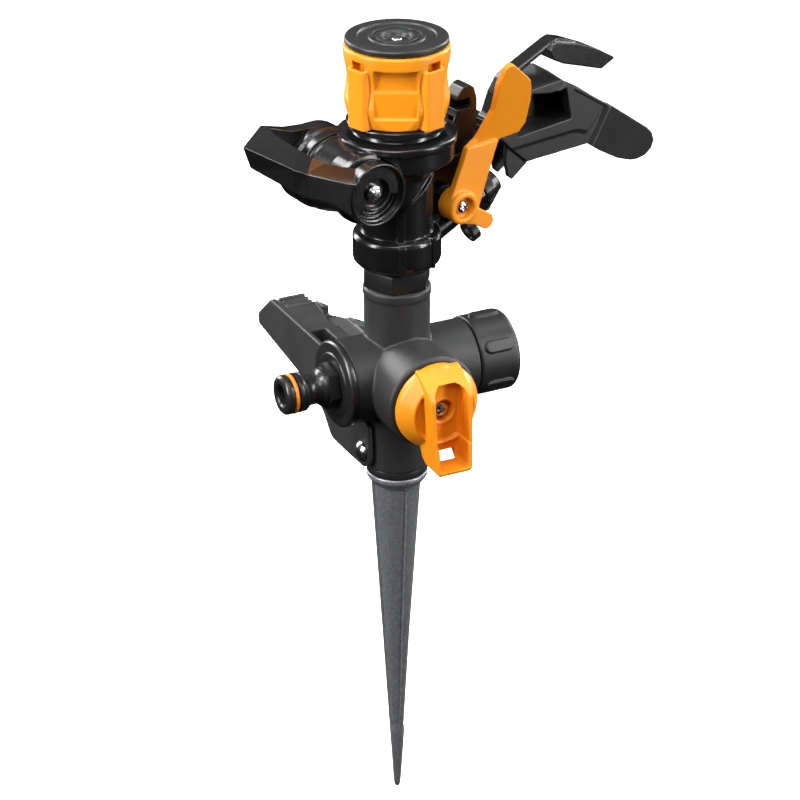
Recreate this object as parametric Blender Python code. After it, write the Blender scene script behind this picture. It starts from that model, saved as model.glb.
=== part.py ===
import bpy, bmesh, math
from mathutils import Matrix, Vector

# ---------------------------------------------------------------- helpers
def T(x, y, z):
    return Matrix.Translation(Vector((x, y, z)))

def R(deg, axis):
    return Matrix.Rotation(math.radians(deg), 4, axis)

I4 = Matrix.Identity(4)
# (a, b, c) -> (Y, Z, X): side profiles of the base, extruded along X
PX = Matrix(((0, 0, 1, 0), (1, 0, 0, 0), (0, 1, 0, 0), (0, 0, 0, 1)))
# (a, b, c) -> (X, Z, -Y): profiles seen from the front, extruded to the front
PY = R(90, 'X')

def new_mesh(name, verts, faces, M=I4):
    me = bpy.data.meshes.new(name)
    me.from_pydata([M @ Vector(v) for v in verts], [], faces)
    bm = bmesh.new()
    bm.from_mesh(me)
    bmesh.ops.recalc_face_normals(bm, faces=bm.faces)
    if bm.calc_volume(signed=True) < 0:
        bmesh.ops.reverse_faces(bm, faces=bm.faces)
    bm.to_mesh(me)
    bm.free()
    return me

def segs(r, q):
    return max(8, int(round(q * (10 + 1.2 * r) / 2)) * 2)

def lathe(profile, n, M=I4, phase=0.0):
    """Turned solid. profile: (r, z) points, closed back on itself unless it
    starts and ends on the axis."""
    verts, rows, faces = [], [], []
    on_axis = profile[0][0] < 1e-6 and profile[-1][0] < 1e-6
    for r, z in profile:
        if r < 1e-6:
            rows.append([len(verts)])
            verts.append((0, 0, z))
        else:
            rows.append(list(range(len(verts), len(verts) + n)))
            for i in range(n):
                a = phase + 2 * math.pi * i / n
                verts.append((r * math.cos(a), r * math.sin(a), z))
    pairs = list(zip(rows, rows[1:]))
    if not on_axis:
        pairs.append((rows[-1], rows[0]))
    for p, q in pairs:
        if len(p) == 1 and len(q) == 1:
            continue
        for i in range(n):
            j = (i + 1) % n
            if len(p) == 1:
                faces.append((p[0], q[i], q[j]))
            elif len(q) == 1:
                faces.append((p[i], q[0], p[j]))
            else:
                faces.append((p[i], q[i], q[j], p[j]))
    return new_mesh('turned', verts, faces, M)

def rod(r, z0, z1, n, M=I4, phase=0.0):
    return lathe([(0, z0), (r, z0), (r, z1), (0, z1)], n, M, phase)

def tube(ro, ri, z0, z1, n, M=I4):
    return lathe([(ri, z0), (ro, z0), (ro, z1), (ri, z1)], n, M)

def prism(poly, z0, z1, M=I4):
    n = len(poly)
    verts = [(x, y, z0) for x, y in poly] + [(x, y, z1) for x, y in poly]
    faces = [tuple(range(n))[::-1], tuple(range(n, 2 * n))]
    for i in range(n):
        j = (i + 1) % n
        faces.append((i, j, n + j, n + i))
    return new_mesh('prism', verts, faces, M)

def block(x0, x1, y0, y1, z0, z1, M=I4):
    return prism([(x0, y0), (x1, y0), (x1, y1), (x0, y1)], z0, z1, M)

def loft(rings, M=I4, closed=False):
    n = len(rings[0])
    verts = [v for r in rings for v in r]
    faces = []
    m = len(rings)
    for k in range(m if closed else m - 1):
        a, b = k * n, ((k + 1) % m) * n
        for i in range(n):
            j = (i + 1) % n
            faces.append((a + i, a + j, b + j, b + i))
    if not closed:
        faces.append(tuple(range(n))[::-1])
        faces.append(tuple(range((m - 1) * n, m * n)))
    return new_mesh('loft', verts, faces, M)

def rounded(poly, rad, n=4):
    """Round the corners of a polygon. rad: one radius or one per corner."""
    out = []
    m = len(poly)
    for i in range(m):
        p0, p, p1 = (Vector(poly[i - 1]), Vector(poly[i]), Vector(poly[(i + 1) % m]))
        r = rad[i] if isinstance(rad, (list, tuple)) else rad
        a, b = (p0 - p), (p1 - p)
        la, lb = a.length, b.length
        a.normalize()
        b.normalize()
        ang = math.acos(max(-1, min(1, a.dot(b))))
        if r <= 1e-6 or ang > math.radians(176):
            out.append((p.x, p.y))
            continue
        d = min(r / math.tan(ang / 2), 0.48 * la, 0.48 * lb)
        rr = d * math.tan(ang / 2)
        c = p + (a + b).normalized() * (rr / math.sin(ang / 2))
        s, e = p + a * d - c, p + b * d - c
        sweep = math.atan2(s.x * e.y - s.y * e.x, s.dot(e))
        for k in range(n + 1):
            t = sweep * k / n
            v = Vector((s.x * math.cos(t) - s.y * math.sin(t),
                        s.x * math.sin(t) + s.y * math.cos(t))) + c
            out.append((v.x, v.y))
    return out

def circle(r, n, cx=0.0, cy=0.0, phase=0.0):
    return [(cx + r * math.cos(phase + 2 * math.pi * i / n),
             cy + r * math.sin(phase + 2 * math.pi * i / n)) for i in range(n)]

def boolean(base, ops):
    """base: mesh; ops: list of ('+' or '-', mesh). Returns the new mesh."""
    a = bpy.data.objects.new('work', base)
    bpy.context.scene.collection.objects.link(a)
    cut = []
    for kind, me in ops:
        b = bpy.data.objects.new('tool', me)
        b.hide_render = True
        b.display_type = 'WIRE'
        bpy.context.scene.collection.objects.link(b)
        cut.append(b)
        m = a.modifiers.new('bool', 'BOOLEAN')
        m.solver = 'EXACT'
        m.operation = 'UNION' if kind == '+' else 'DIFFERENCE'
        m.object = b
    dg = bpy.context.evaluated_depsgraph_get()
    dg.update()
    out = bpy.data.meshes.new_from_object(a.evaluated_get(dg))
    for o in [a] + cut:
        bpy.data.objects.remove(o)
    return clean(out)

def clean(me, dist=0.002):
    bm = bmesh.new()
    bm.from_mesh(me)
    bmesh.ops.remove_doubles(bm, verts=bm.verts, dist=dist)
    bmesh.ops.dissolve_degenerate(bm, edges=bm.edges, dist=dist)
    bm.to_mesh(me)
    bm.free()
    return me

# ---------------------------------------------------------------- driving dimensions (mm)
# Z = 0 is the ground line, under the spike's collar. X is the hose line
# (inlet at -X, plugged outlet at +X), the flow valve points to -Y.
SPIKE_LEN = 150.0        # collar underside to tip
SPIKE_R = 9.9            # spike radius under the collar
COLLAR_R = 12.2
STUB_R = 8.0             # spike stub inside the body socket
BODY_R = 13.0            # vertical tube of the cross body
LINE_Z = 45.6            # height of the hose line
INLET_R = 17.0
OUTLET_R = 15.6
VALVE_R = 18.7
FLANGE_X = -28.0
NIPPLE_X = -50.3         # nipple mouth
NIPPLE_R = 7.9
VALVE_Y = -34.5          # rim of the valve knob
CAP_X0, CAP_X1, CAP_R = 29.8, 47.2, 16.2
RIVET_Z = 13.4
NECK_TOP = 83.6
NUT_AF = 24.0
SKIRT_R = 16.9
COLUMN_R = 14.0
CUP_R = 22.0
CUP_Z0, CUP_Z1 = 136.3, 146.8
KNOB_Z0, KNOB_Z1, KNOB_R = 152.3, 181.2, 20.2
DISC_Z1 = 184.0
HEAD_YAW = 9.5           # the head's heading at rest, degrees about Z
PIVOT_F, PIVOT_Z = -23.0, 132.0      # drive arm axle, in the head's own frame
DIFF_F, DIFF_Z = 20.0, 115.0         # diffuser lever pivot
MOUTH_F, MOUTH_Z = 46.5, 115.5       # main nozzle mouth
JET_DEG = 25.0
GAP = 0.3                # running clearance between neighbours
Q = 0.8                  # facets per turn, scaled

HM = R(HEAD_YAW, 'Z')                 # head frame: x forward, -y near side
PN = HM @ PY                          # (f, z, n) -> head
MX = T(0, 0, LINE_Z) @ PX             # local z along +X on the hose line
MV = T(0, 0, LINE_Z) @ PY             # local z towards the front on the valve axis
MA = PN @ T(PIVOT_F, PIVOT_Z, 0)      # local z along the drive arm axle, near side +
MD = PN @ T(DIFF_F, DIFF_Z, 0)        # local z along the diffuser lever axle
# local z along the jet
MJ = HM @ T(MOUTH_F, 0, MOUTH_Z) @ R(90 - JET_DEG, 'Y')

# local z forward along the head
PXF = R(90, 'Y')

def S(r):
    return segs(r, Q)

# ---------------------------------------------------------------- base
def ground_spike():
    n = 24
    rings = []
    def ring(z, r, dip):
        out = []
        for i in range(n):
            a = 2 * math.pi * i / n
            k = i % 6
            d = dip if k in (2, 3, 4) else (dip * 0.5 if False else 0.0)
            out.append(((r - d) * math.cos(a + 0.55), (r - d) * math.sin(a + 0.55), z))
        return out
    L = SPIKE_LEN
    rings.append(ring(-L, 0.9, 0))
    rings.append(ring(-L + 2, 1.5, 0))
    rings.append(ring(-L * 0.80, 3.2, 0.0))
    rings.append(ring(-L * 0.74, 3.75, 0.5))
    rings.append(ring(-L * 0.4, 6.6, 0.9))
    rings.append(ring(-6.5, 9.4, 1.1))
    rings.append(ring(-4.5, 9.6, 0))
    rings.append(ring(-2.0, SPIKE_R, 0))
    rings.append(ring(0.0, COLLAR_R - 0.8, 0))
    rings.append(ring(0.6, COLLAR_R, 0))
    rings.append(ring(2.6, COLLAR_R, 0))
    rings.append(ring(2.6, STUB_R, 0))
    rings.append(ring(24.0, STUB_R, 0))
    m = loft(rings)
    hole = rod(2.6, -12, 12, 10, T(0, 0, RIVET_Z) @ PX)
    return boolean(m, [('-', hole)])

def socket_ring():
    return lathe([(STUB_R + GAP, 2.9), (12.2, 2.9), (12.4, 4.0), (12.4, 6.0), (STUB_R + GAP, 6.0)], S(12))

def base_body():
    n = S(14)
    m = rod(BODY_R, 6.3, LINE_Z, n)
    neck = lathe([(0, LINE_Z - 5), (BODY_R - .05, LINE_Z - 5), (BODY_R - .05, 79.4), (BODY_R + .35, 79.8),
                  (BODY_R + .35, 82.6), (12.4, NECK_TOP), (0, NECK_TOP)], n)
    inlet = rod(INLET_R, -24.6, 0.5, S(17), MX)
    outlet = lathe([(0, -0.5), (OUTLET_R, -0.5), (OUTLET_R, 29.4), (12.2, 29.4), (12.2, 41), (0, 41)], S(15), MX)
    boss = lathe([(0, -6), (15.0, -6), (VALVE_R - 1.2, 8), (VALVE_R, 14), (VALVE_R, 30.6), (VALVE_R - 1, 31.6), (0, 31.6)], S(18), MV)
    cuts = [
        rod(10.0, 58, 95, S(10)),                       # swivel bearing bore
        rod(5.0, LINE_Z - 2, 60, S(5)),                 # waterway up
        rod(7.6, -40, -11, S(7), MX),                   # inlet thread
        rod(5.0, -13, 13, S(5), MX),
        rod(8.0, 11, 50, S(8), MX),                     # outlet
        rod(9.5, -10, 40, S(9), MV),                    # valve chamber
        rod(STUB_R + GAP, 0, 25, S(8)),                 # spike socket
        rod(2.6, -20, 20, 10, T(0, 0, RIVET_Z) @ PX),   # rivet hole
    ]
    return boolean(m, [('+', neck), ('+', inlet), ('+', outlet), ('+', boss)] + [('-', c) for c in cuts])

def inlet_flange():
    # welded end plate that carries the nipple's seat
    return lathe([(7.5, -28.0), (12.5, -28.0), (12.7, -27.6), (16.6, -27.6), (17.4, -26.9), (17.4, -24.9), (7.5, -24.9)], S(17), MX)

def inlet_nipple():
    prof = [(4.1, -49.6), (4.7, -50.3), (6.9, -50.3), (7.9, -49.3), (7.9, -47.3), (6.3, -47.3), (6.3, -44.7),
            (7.9, -44.7), (7.9, -41.6), (7.2, -40.8), (6.0, -39.6), (6.0, -35.2), (7.0, -34.0), (8.8, -33.2),
            (8.8, -28.4), (7.2, -28.4), (7.2, -12.0), (4.1, -12.0)]
    return lathe(prof, S(9), MX)

def nipple_o_ring():
    return ring_torus(6.3 + 0.15, 8.05, -46.0, S(8), MX)

def ring_torus(ri, ro, z, n, M, k=8):
    c, r = (ri + ro) / 2, (ro - ri) / 2
    return lathe([(c + r * math.cos(2 * math.pi * i / k + math.pi / k), z + r * math.sin(2 * math.pi * i / k + math.pi / k)) for i in range(k)], n, M)

def step_rivet():
    x = 15.5
    prof = [(0, -x - 2.0), (2.0, -x - 1.9), (3.6, -x - 1.1), (4.3, -x - GAP), (4.3, -x), (2.2, -x),
            (2.2, x), (4.3, x), (4.3, x + GAP), (3.6, x + 1.1), (2.0, x + 1.9), (0, x + 2.0)]
    return lathe(prof, S(6), T(0, 0, RIVET_Z) @ PX)

def foot_step():
    out = rounded([(-5.5, 9.0), (0, 6.4), (29.3, 6.0), (37.5, 15.0), (61.6, 22.0), (101.0, 27.4), (101.0, 32.4),
                   (88.0, 43.6), (24.0, 43.6), (19.0, 40.0), (15.0, 31.0), (6.0, 28.2), (-5.0, 26.4), (-5.5, 17.8)],
                  [4, 2, 6, 8, 6, 1.5, 2, 3, 2, 3, 5, 2, 3, 4], 3)
    m = prism(out, -15.3, 15.3, PX)
    inner = prism([(-12, 2), (28, 2), (38, 12), (62, 19.5), (72, 21), (66, 47), (-12, 47)], -BODY_R - GAP, BODY_R + GAP, PX)
    under = prism([(60, 24.4), (96, 28.8), (95.5, 30.4), (66, 37.5)], -13.3, 13.3, PX)
    # web between the walls, with the small window next to the near wall
    web = block(-14.0, 14.0, 27.0, 69.0, 34.5, 41.5)
    window = block(-12.6, -5.0, 43.5, 56.6, 30.0, 50.0)
    # the far corner is cut back on the slant and closed by a wall
    corner = prism([(-3.0, 92.0), (12.5, 50.0), (15.6, 42.0), (40, 42), (40, 120), (-3.0, 120)], -5, 70)
    wall = loft([[(12.9, 43.0, 17.0), (15.2, 43.0, 17.0), (15.2, 43.0, 43.4), (12.9, 43.0, 43.4)],
                 [(-5.3, 91.2, 26.6), (-3.1, 91.9, 26.6), (-3.1, 91.9, 40.0), (-5.3, 91.2, 40.0)]])
    return boolean(m, [('-', inner), ('+', web), ('-', under), ('-', window), ('-', corner), ('+', wall),
                       ('-', rod(2.6, -20, 20, 10, T(0, 0, RIVET_Z) @ PX))])

def valve_plug():
    m = lathe([(0, -9.4), (9.0, -9.4), (9.2, 0), (9.2, 12.0), (8.0, 12.0), (8.0, 14.2), (9.2, 14.2), (9.2, 17),
               (5.0, 17), (5.0, 33.0), (0, 33.0)], S(9), MV)
    cuts = [rod(4.6, -12, 12, 12, MX), rod(4.6, 0, 15, 12, T(0, 0, LINE_Z)),
            rod(1.5, 26, 40, 8, MV)]
    return boolean(m, [('-', c) for c in cuts])

def plug_o_ring():
    return ring_torus(8.05, 9.4, 13.1, S(9), MV, 6)

def valve_knob():
    # base disc, cone and hub
    body = lathe([(0, 32.0), (16.4, 32.0), (17.2, 32.6), (17.2, 35.2), (16.2, 36.4), (9.6, 41.4), (8.6, 42.7), (0, 42.7)], S(18), MV)
    handle = rounded([(-8.9, 10.0), (-8.9, 6.0), (-7.4, -23.2), (7.4, -23.2), (8.9, 6.0), (8.9, 10.0)],
                     [0.5, 6, 2.5, 2.5, 6, 0.5], 3)
    grip = prism(handle, 34.0, 50.0, MV)
    slot = prism(rounded([(-6.9, 20.0), (-6.9, 6.0), (-5.8, -21.2), (5.8, -21.2), (6.9, 6.0), (6.9, 20.0)],
                         [0, 3, 1.2, 1.2, 3, 0], 2), 41.9, 60.0, MV)
    slope = prism([(38.0, 12), (60, 12), (60, 5.0)], -20, 20,
                  T(0, 0, LINE_Z) @ Matrix(((0, 0, 1, 0), (-1, 0, 0, 0), (0, 1, 0, 0), (0, 0, 0, 1))))
    window = block(-3.2, 3.2, -21.0, -17.9, 30, 45, MV)
    cuts = [('-', slope), ('-', slot), ('-', window), ('-', rod(4.0, 36.0, 60, S(4), MV)),
            ('-', rod(1.9, 30, 50, 10, MV)), ('-', rod(5.0 + GAP, 30, 33.4, S(5), MV))]
    return boolean(body, [('+', grip)] + cuts)

def valve_screw():
    return lathe([(0, 27.0), (1.35, 27.0), (1.35, 36.4), (3.2, 36.4), (3.2, 38.0), (2.4, 38.6), (0, 38.6)], S(3), MV)

def outlet_cap():
    m = lathe([(0, CAP_X1), (CAP_R - 1.2, CAP_X1), (CAP_R, CAP_X1 - 1.2), (CAP_R, CAP_X0), (12.6, CAP_X0),
               (12.6, CAP_X1 - 2.6), (0, CAP_X1 - 2.6)], S(15), MX)
    ops = []
    for i in range(6):
        a = math.radians(30 + 60 * i)
        ops.append(('+', block(-0.5, 1.15, -1.5, 1.5, CAP_X0 + 1.5, CAP_X1 - 3.0,
                               MX @ R(math.degrees(a), 'Z') @ T(CAP_R, 0, 0))))
    return boolean(m, ops)

def cap_washer():
    return tube(12.2, 8.0, 41.4, 43.2, S(12), MX)

def swivel_nut():
    r = NUT_AF / 2 / math.cos(math.pi / 6)
    hexa = prism(circle(r, 6, phase=math.radians(30 + 26)), NECK_TOP + 0.4, 91.1)
    stub = rod(9.6, 62.0, NECK_TOP + 1, S(9))
    return boolean(hexa, [('+', stub), ('-', rod(5.7, 50, 100, S(6)))])

def thrust_washer():
    return tube(8.8, 5.6, 60.7, 61.7, S(8))

def swivel_tube():
    return lathe([(3.6, 58.4), (8.4, 58.4), (8.4, 60.4), (5.3, 60.4), (5.3, 107.0), (3.6, 107.0)], S(6))

def nut_o_ring():
    return ring_torus(9.75, 12.3, 84.9 - 1.2 + 0, S(10), I4, 6)

# ---------------------------------------------------------------- head
def head_body():
    n = S(15)
    m = lathe([(0, 91.6), (12.6, 91.6), (14.0, 92.0), (SKIRT_R, 94.6), (SKIRT_R, 105.2), (SKIRT_R - 0.8, 106.0),
               (COLUMN_R, 106.4), (COLUMN_R, 130), (16.5, 136.0), (0, 136.0)], n, HM)
    cup = lathe([(0, 134), (18, 134), (CUP_R, CUP_Z0 + .6), (CUP_R, CUP_Z1 - 0.6), (CUP_R - 0.6, CUP_Z1), (17.0, CUP_Z1),
                 (16.2, 148.6), (16.2, 150.8), (0, 150.8)], S(22), HM)
    barrel = lathe([(0, -17.4), (15.6, -17.4), (15.6, -13.4), (15.0, -13.0), (15.4, -12.6), (15.4, -8.8), (14.2, -8.4), (14.2, -6.6), (14.8, -6.0), (12.6, 2), (12.3, 13.6), (0, 13.6)], n, MA)
    bridge = prism([(-22, 120), (6, 112), (6, 142), (-22, 144)], -12, 11, PN)
    jet = lathe([(0, -37), (5.3, -37), (5.2, -8.0), (0, -8.0)], S(6), MJ)
    strut = prism([(8, 106.5), (16, 106), (25, 111.2), (25, 118.6), (19, 120.5), (8, 120.5)], -4.0, 4.0, PN)
    dboss = rod(5.2, 0, 7.7, S(5), MD)
    post = prism([(15, 128), (26, 127), (33.5, 127), (33.5, 131.8), (23.9, 131.8), (23.9, 138.2), (20, 138.6), (15, 138)], -3.0, 3.0, PN)
    web = prism([(10, 118), (21, 119), (27, 131), (20, 138), (10, 136)], -2.0, 2.0, PN)
    cuts = [rod(5.7, 90, 108.5, S(6)), rod(4.0, 100, 112.0, S(5), HM),
            rod(3.2, -46.0, 5, S(4), MJ),
            rod(9.8, -14.5, 30, S(9), MA),              # spring chamber
            rod(2.4, -30, 30, 10, MA),                  # axle bore
            rod(1.3, 3.0, 20, 8, MD),
            rod(9.0, 143.0, 160, S(9), HM),             # shaft seat of the knob
            rod(1.3, 21.2, 30, 8, HM @ T(0, 0, 135.2) @ PXF),
            rod(12.6, 13.65, 40, S(13), MA),            # clearance round the near hub
            rod(16.5, -50, -17.45, S(16), MA),          # and round the far hub
            ]
    return boolean(m, [('+', cup), ('+', barrel), ('+', bridge), ('+', jet), ('+', strut), ('+', dboss), ('+', post), ('+', web)]
                   + [('-', c) for c in cuts])

def main_nozzle():
    # jet tip inside the mouth ring
    return lathe([(1.7, -7.6), (3.0, -7.6), (3.0, -0.8), (2.3, -0.8), (1.7, -2.6)], S(4), MJ)

def nozzle_plate():
    # mouth ring and the low spreader port, joined by a link plate
    low = HM @ T(33.6, -4.0, 99.2) @ R(90 - JET_DEG, 'Y')
    mouth = lathe([(0, -7.7), (5.2, -7.7), (5.2, -3.0), (4.7, 0), (0, 0)], S(5), MJ)
    port = lathe([(0, -3.0), (4.4, -3.0), (4.4, 0.6), (0, 0.6)], S(5), low)
    link = prism([(33.2, 101.2), (36.4, 98.4), (46.3, 112.0), (42.6, 111.6), (41.2, 106.4)], -0.4, 4.4, PN)
    return boolean(mouth, [('+', link), ('+', port), ('-', rod(3.3, -9, 9, S(3), MJ)), ('-', rod(2.5, -9, 9, S(3), low))])

def axle():
    x0, x1 = -26.6, 19.4
    return lathe([(0, x0), (1.5, x0), (2.0, x0 + .5), (2.0, x1 - 2.2), (1.5, x1 - 2.2), (1.5, x1 - 0.3), (1.2, x1), (0, x1)], S(3), MA)

def axle_bush():
    return lathe([(2.3, 10.0), (9.4, 10.0), (9.4, 13.2), (2.3, 13.2)], S(9), MA)

def torsion_spring():
    r, w, turns, k = 7.2, 0.75, 5, 12
    rings = []
    z0, z1 = -11.5, 7.5
    steps = turns * k
    for i in range(steps + 1):
        a = 2 * math.pi * i / k
        z = z0 + (z1 - z0) * i / steps
        c = Vector((r * math.cos(a), r * math.sin(a), z))
        e1 = Vector((math.cos(a), math.sin(a), 0))
        e2 = Vector((0, 0, 1))
        rings.append([tuple(c + e1 * w * math.cos(t) + e2 * w * math.sin(t)) for t in [2 * math.pi * j / 6 for j in range(6)]])
    return loft(rings, MA)

def counterweight_yoke():
    # U-shaped counterweight: near arm, slanted cross bar, far arm; rings run inner top,
    # outer top, outer bottom, inner bottom
    st = [((-17, 14.2, 139.4), (-17, 19.9, 134.6), (-17, 19.9, 124.6), (-17, 14.2, 124.6)),
          ((-27, 14.0, 141.8), (-27, 20.0, 136.9), (-27, 20.0, 123.8), (-27, 14.0, 123.8)),
          ((-36, 13.9, 144.6), (-36.5, 20.0, 139.9), (-36.5, 20.0, 127.4), (-36, 13.9, 127.4)),
          ((-42, 13.2, 147.2), (-45, 20.0, 143.6), (-44, 20.0, 133.3), (-42, 13.2, 133.3)),
          ((-45.6, 10.4, 149.2), (-54.4, 19.8, 147.7), (-54.8, 19.8, 138.2), (-45.6, 10.4, 136.0)),
          ((-47.2, 4.6, 150.6), (-57.2, 14.6, 148.4), (-56.2, 14.6, 139.0), (-47.0, 4.6, 138.0)),
          ((-47.4, -12.0, 151.8), (-59.7, -14.6, 148.4), (-56.0, -15.6, 139.0), (-47.2, -12.0, 138.4)),
          ((-45.4, -17.4, 152.0), (-47.2, -21.6, 152.2), (-46.6, -21.6, 137.0), (-45.2, -17.6, 137.0)),
          ((-36.0, -17.9, 148.5), (-36.0, -23.8, 148.6), (-36.0, -23.8, 125.6), (-36.0, -17.9, 125.6)),
          ((-26.0, -17.9, 147.6), (-26.0, -23.9, 147.6), (-26.0, -23.9, 118.0), (-26.0, -17.9, 118.0))]
    m = loft([[(f, -n, z) for f, n, z in ring] for ring in st], HM)
    hub_n = lathe([(0, 13.95), (11.6, 13.95), (12.2, 14.6), (12.2, 19.6), (11.6, 20.25), (0, 20.25)], S(12), MA)
    hub_f = lathe([(0, -24.3), (15.0, -24.3), (16.0, -23.6), (16.0, -17.75), (0, -17.75)], S(16), MA)
    return boolean(m, [('+', hub_n), ('+', hub_f), ('-', rod(11.0, 18.8, 30, S(10), MA)), ('-', rod(5.8, 16.4, 30, S(6), MA)),
                       ('-', rod(2.3, -40, 30, 10, MA))])

ARCH = [(38.8, 139.0), (43.0, 143.7), (45.8, 151.2), (49.2, 156.3), (52.0, 158.3), (61.8, 162.8), (71.5, 167.3), (74.5, 168.2),
        (79.5, 166.8), (91.8, 161.5), (103.4, 155.0)]
def front_arm():
    # from the far hub past the head, up and over to the arch in front
    disc = rod(14.0, -28.0, -24.8, S(14), MA)
    bar = prism(rounded([(-23, 122), (0, 121.0), (34, 122), (44.5, 132), (44.5, 142), (38, 142), (30, 133), (-23, 142)],
                        [2, 4, 8, 5, 3, 3, 6, 2], 2), -27.7, -25.1, PN)
    # cross piece that brings the arm back to the jet's plane
    cross = prism([(38.2, 132), (43.4, 132), (45.0, 142), (39.8, 142)], -27.2, 2.2, PN)
    strap = prism(ARCH + [(95, 155.0), (79, 162.4), (74.0, 165.0), (70.6, 164.6), (62.4, 160.8), (53.4, 156.2), (50.4, 151.0), (48.0, 144.0), (46.2, 137.6), (40.0, 137.6)], -4.0, 2.6, PN)
    tip = prism(rounded([(72.6, 167.4), (84.3, 164.4), (95.4, 159.6), (103.6, 154.8), (96.6, 151.4), (77.0, 157.6), (72.6, 159.8), (69.6, 164.2)],
                        [1, 0, 0, .6, .8, 2, 2, 1], 2), -4.3, 4.0, PN)
    return boolean(disc, [('+', bar), ('+', cross), ('+', strap), ('+', tip), ('-', rod(2.35, -40, 0, 10, MA))])

# frame of the kick paddle: origin at the upper end of the fold, x out along the paddle
MK_PAD = PN @ T(97.8, 137.6, 6.0) @ R(-29.8, 'Z') @ R(-28.0, 'Y')
PAD = [(-2.0, -0.6), (0.4, 0.3), (19.5, -2.2), (22.3, -3.2), (24.4, -5.7), (24.7, -9.1), (23.6, -12.6), (21.2, -15.3), (18.7, -16.8),
       (13.4, -18.1), (5.8, -18.2), (-0.2, -17.6), (-2.0, -15.0)]
PLATE = [(45.2, 133.6), (58.4, 121.8), (89.1, 122.4), (97.8, 137.6), (75.4, 152.0), (66.0, 151.6), (56.0, 150.6), (48.0, 145.0)]
PANEL = [(44.9, 134.2), (49.8, 129.4), (82.2, 130.2), (88.2, 128.1), (97.5, 137.4), (81.5, 148.6), (77.0, 151.0), (70.8, 146.6), (60.0, 148.0), (50.0, 143.0)]
WINDOW = [(53.1, 133.6), (79.3, 135.4), (76.8, 148.6), (70.0, 147.6), (60.6, 149.2), (54.0, 145.0)]
def deflector():
    # the scoop the jet strikes: flanged face plate with a window, the hood behind it,
    # a dipping vane and the folded kick paddle
    m = prism(PLATE, 4.0, 6.0, PN)
    panel = prism(PANEL, 5.0, 6.9, PN)
    near = [(51.5, 131.6), (52.0, 144.0), (58.5, 150.2), (66.0, 150.2), (75.0, 151.4), (85.0, 145.0), (91.5, 132.0), (80.0, 128.4)]
    far = [(58.0, 131.0), (58.5, 150.0), (64.0, 156.6), (72.3, 155.4), (80.0, 150.6), (86.6, 145.4), (95.0, 133.0), (84.0, 128.0)]
    hood = loft([[(f, -n, z) for f, z in ring] for ring, n in ((near, 4.6), (far, -9.0))], HM)
    vane = prism([(49.9, 137), (64, 134), (61.5, 124.0), (59.3, 120.6), (54.8, 117.3), (52.3, 115.4), (50.4, 117), (48.9, 123)], -6.0, 4.6, PN)
    win = prism(WINDOW, 1.0, 20, PN)
    inner = prism([(40, 134.2), (80, 134.2), (88, 135.6), (83.5, 143.4), (72.5, 147.6), (40, 149.0)], -7.2, 2.6, PN)
    low = prism([(40, 100), (57.2, 112), (59.4, 128), (57.0, 137.0), (40, 137.0)], -4.2, 2.6, PN)
    return boolean(m, [('+', hood), ('+', vane), ('+', panel), ('-', win), ('-', inner), ('-', low), ('+', prism(PAD, -2.0, 0.0, MK_PAD))])

# frame of the lever's upper blade, tipped back about the crease
MK_BL = PN @ T(22.6, 141.0, 14.6) @ R(8.0, 'Z') @ R(14.0, 'X')
BLADE = [(1.6, -8.0), (0.2, -4.0), (4.9, -1.2), (8.4, 3.9), (11.9, 9.1), (12.9, 14.2), (13.9, 20.3), (16.8, 26.5), (18.7, 27.6), (21.1, 26.6), (29.2, 16.9),
         (29.9, 13.8), (30.0, 7.2), (28.3, -2.6), (25.2, -6.0), (15.8, -5.4), (13.4, -8.6)]
def diffuser_lever():
    hub = lathe([(1.5, 8.0), (6.5, 8.0), (6.5, 16.4), (5.9, 17.0), (4.2, 17.0), (4.2, 14.4), (1.5, 14.4)], S(7), MD)
    lever = prism(rounded([(14.4, 118.0), (17.0, 124.5), (20.3, 132.2), (22.6, 137.7), (26.0, 140.6), (36.0, 140.6), (37.4, 138.0), (35.2, 132.8), (30.6, 119.5),
                           (28.0, 112.0), (20.0, 110.0)], [1, 6, 4, 1, 1, 1, 1, 4, 4, 1, 1], 2), 11.8, 14.6, PN)
    blade = prism(BLADE, -2.6, 0.0, MK_BL)
    tail = prism(rounded([(21, 108.0), (25.5, 106.8), (31.5, 102.9), (35.0, 105.2), (34.4, 108.8), (26, 114.0)], [0, 1, 2.5, 2.5, 2, 0], 3), 11.8, 15.6, PN)
    bore = rod(1.5, 0, 30, 10, MD)
    pocket = rod(4.2, 14.4, 30, S(5), MD)
    return boolean(hub, [('+', lever), ('+', blade), ('+', tail), ('-', bore), ('-', pocket)])

def diffuser_screw():
    return lathe([(0, 4.0), (1.1, 4.0), (1.1, 14.7), (2.7, 14.7), (2.7, 15.6), (1.9, 16.0), (0, 16.0)], S(3), MD)

def trip_lever():
    m = prism(rounded([(25.0, 133.0), (33.0, 133.0), (34.9, 139.0), (34.9, 153.0), (33.6, 157.4), (31.4, 159.0), (28.6, 158.2), (25.6, 155.0),
                       (25.6, 148.0), (24.4, 145.0), (24.4, 137.0)], [1, 1, 2, 3, 1, 1, 1, 1, 1, 1, 2], 2), -3.9, 3.9, PN)
    c = prism([(20, 149.6), (31.6, 149.6), (31.6, 153.4), (20, 153.4)], -2.4, 6.0, PN)
    c2 = prism([(20, 138), (31.5, 138), (31.5, 146.5), (20, 146.5)], -2.4, 2.4, PN)
    return boolean(m, [('-', c), ('-', c2), ('-', rod(1.3, 20, 40, 8, HM @ T(0, 0, 135.2) @ PXF))])

def trip_pin():
    return lathe([(0, 21.5), (1.05, 21.5), (1.05, 34.4), (2.0, 34.4), (2.0, 35.2), (0, 35.2)], 8, HM @ T(0, 0, 135.2) @ PXF)

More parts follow.
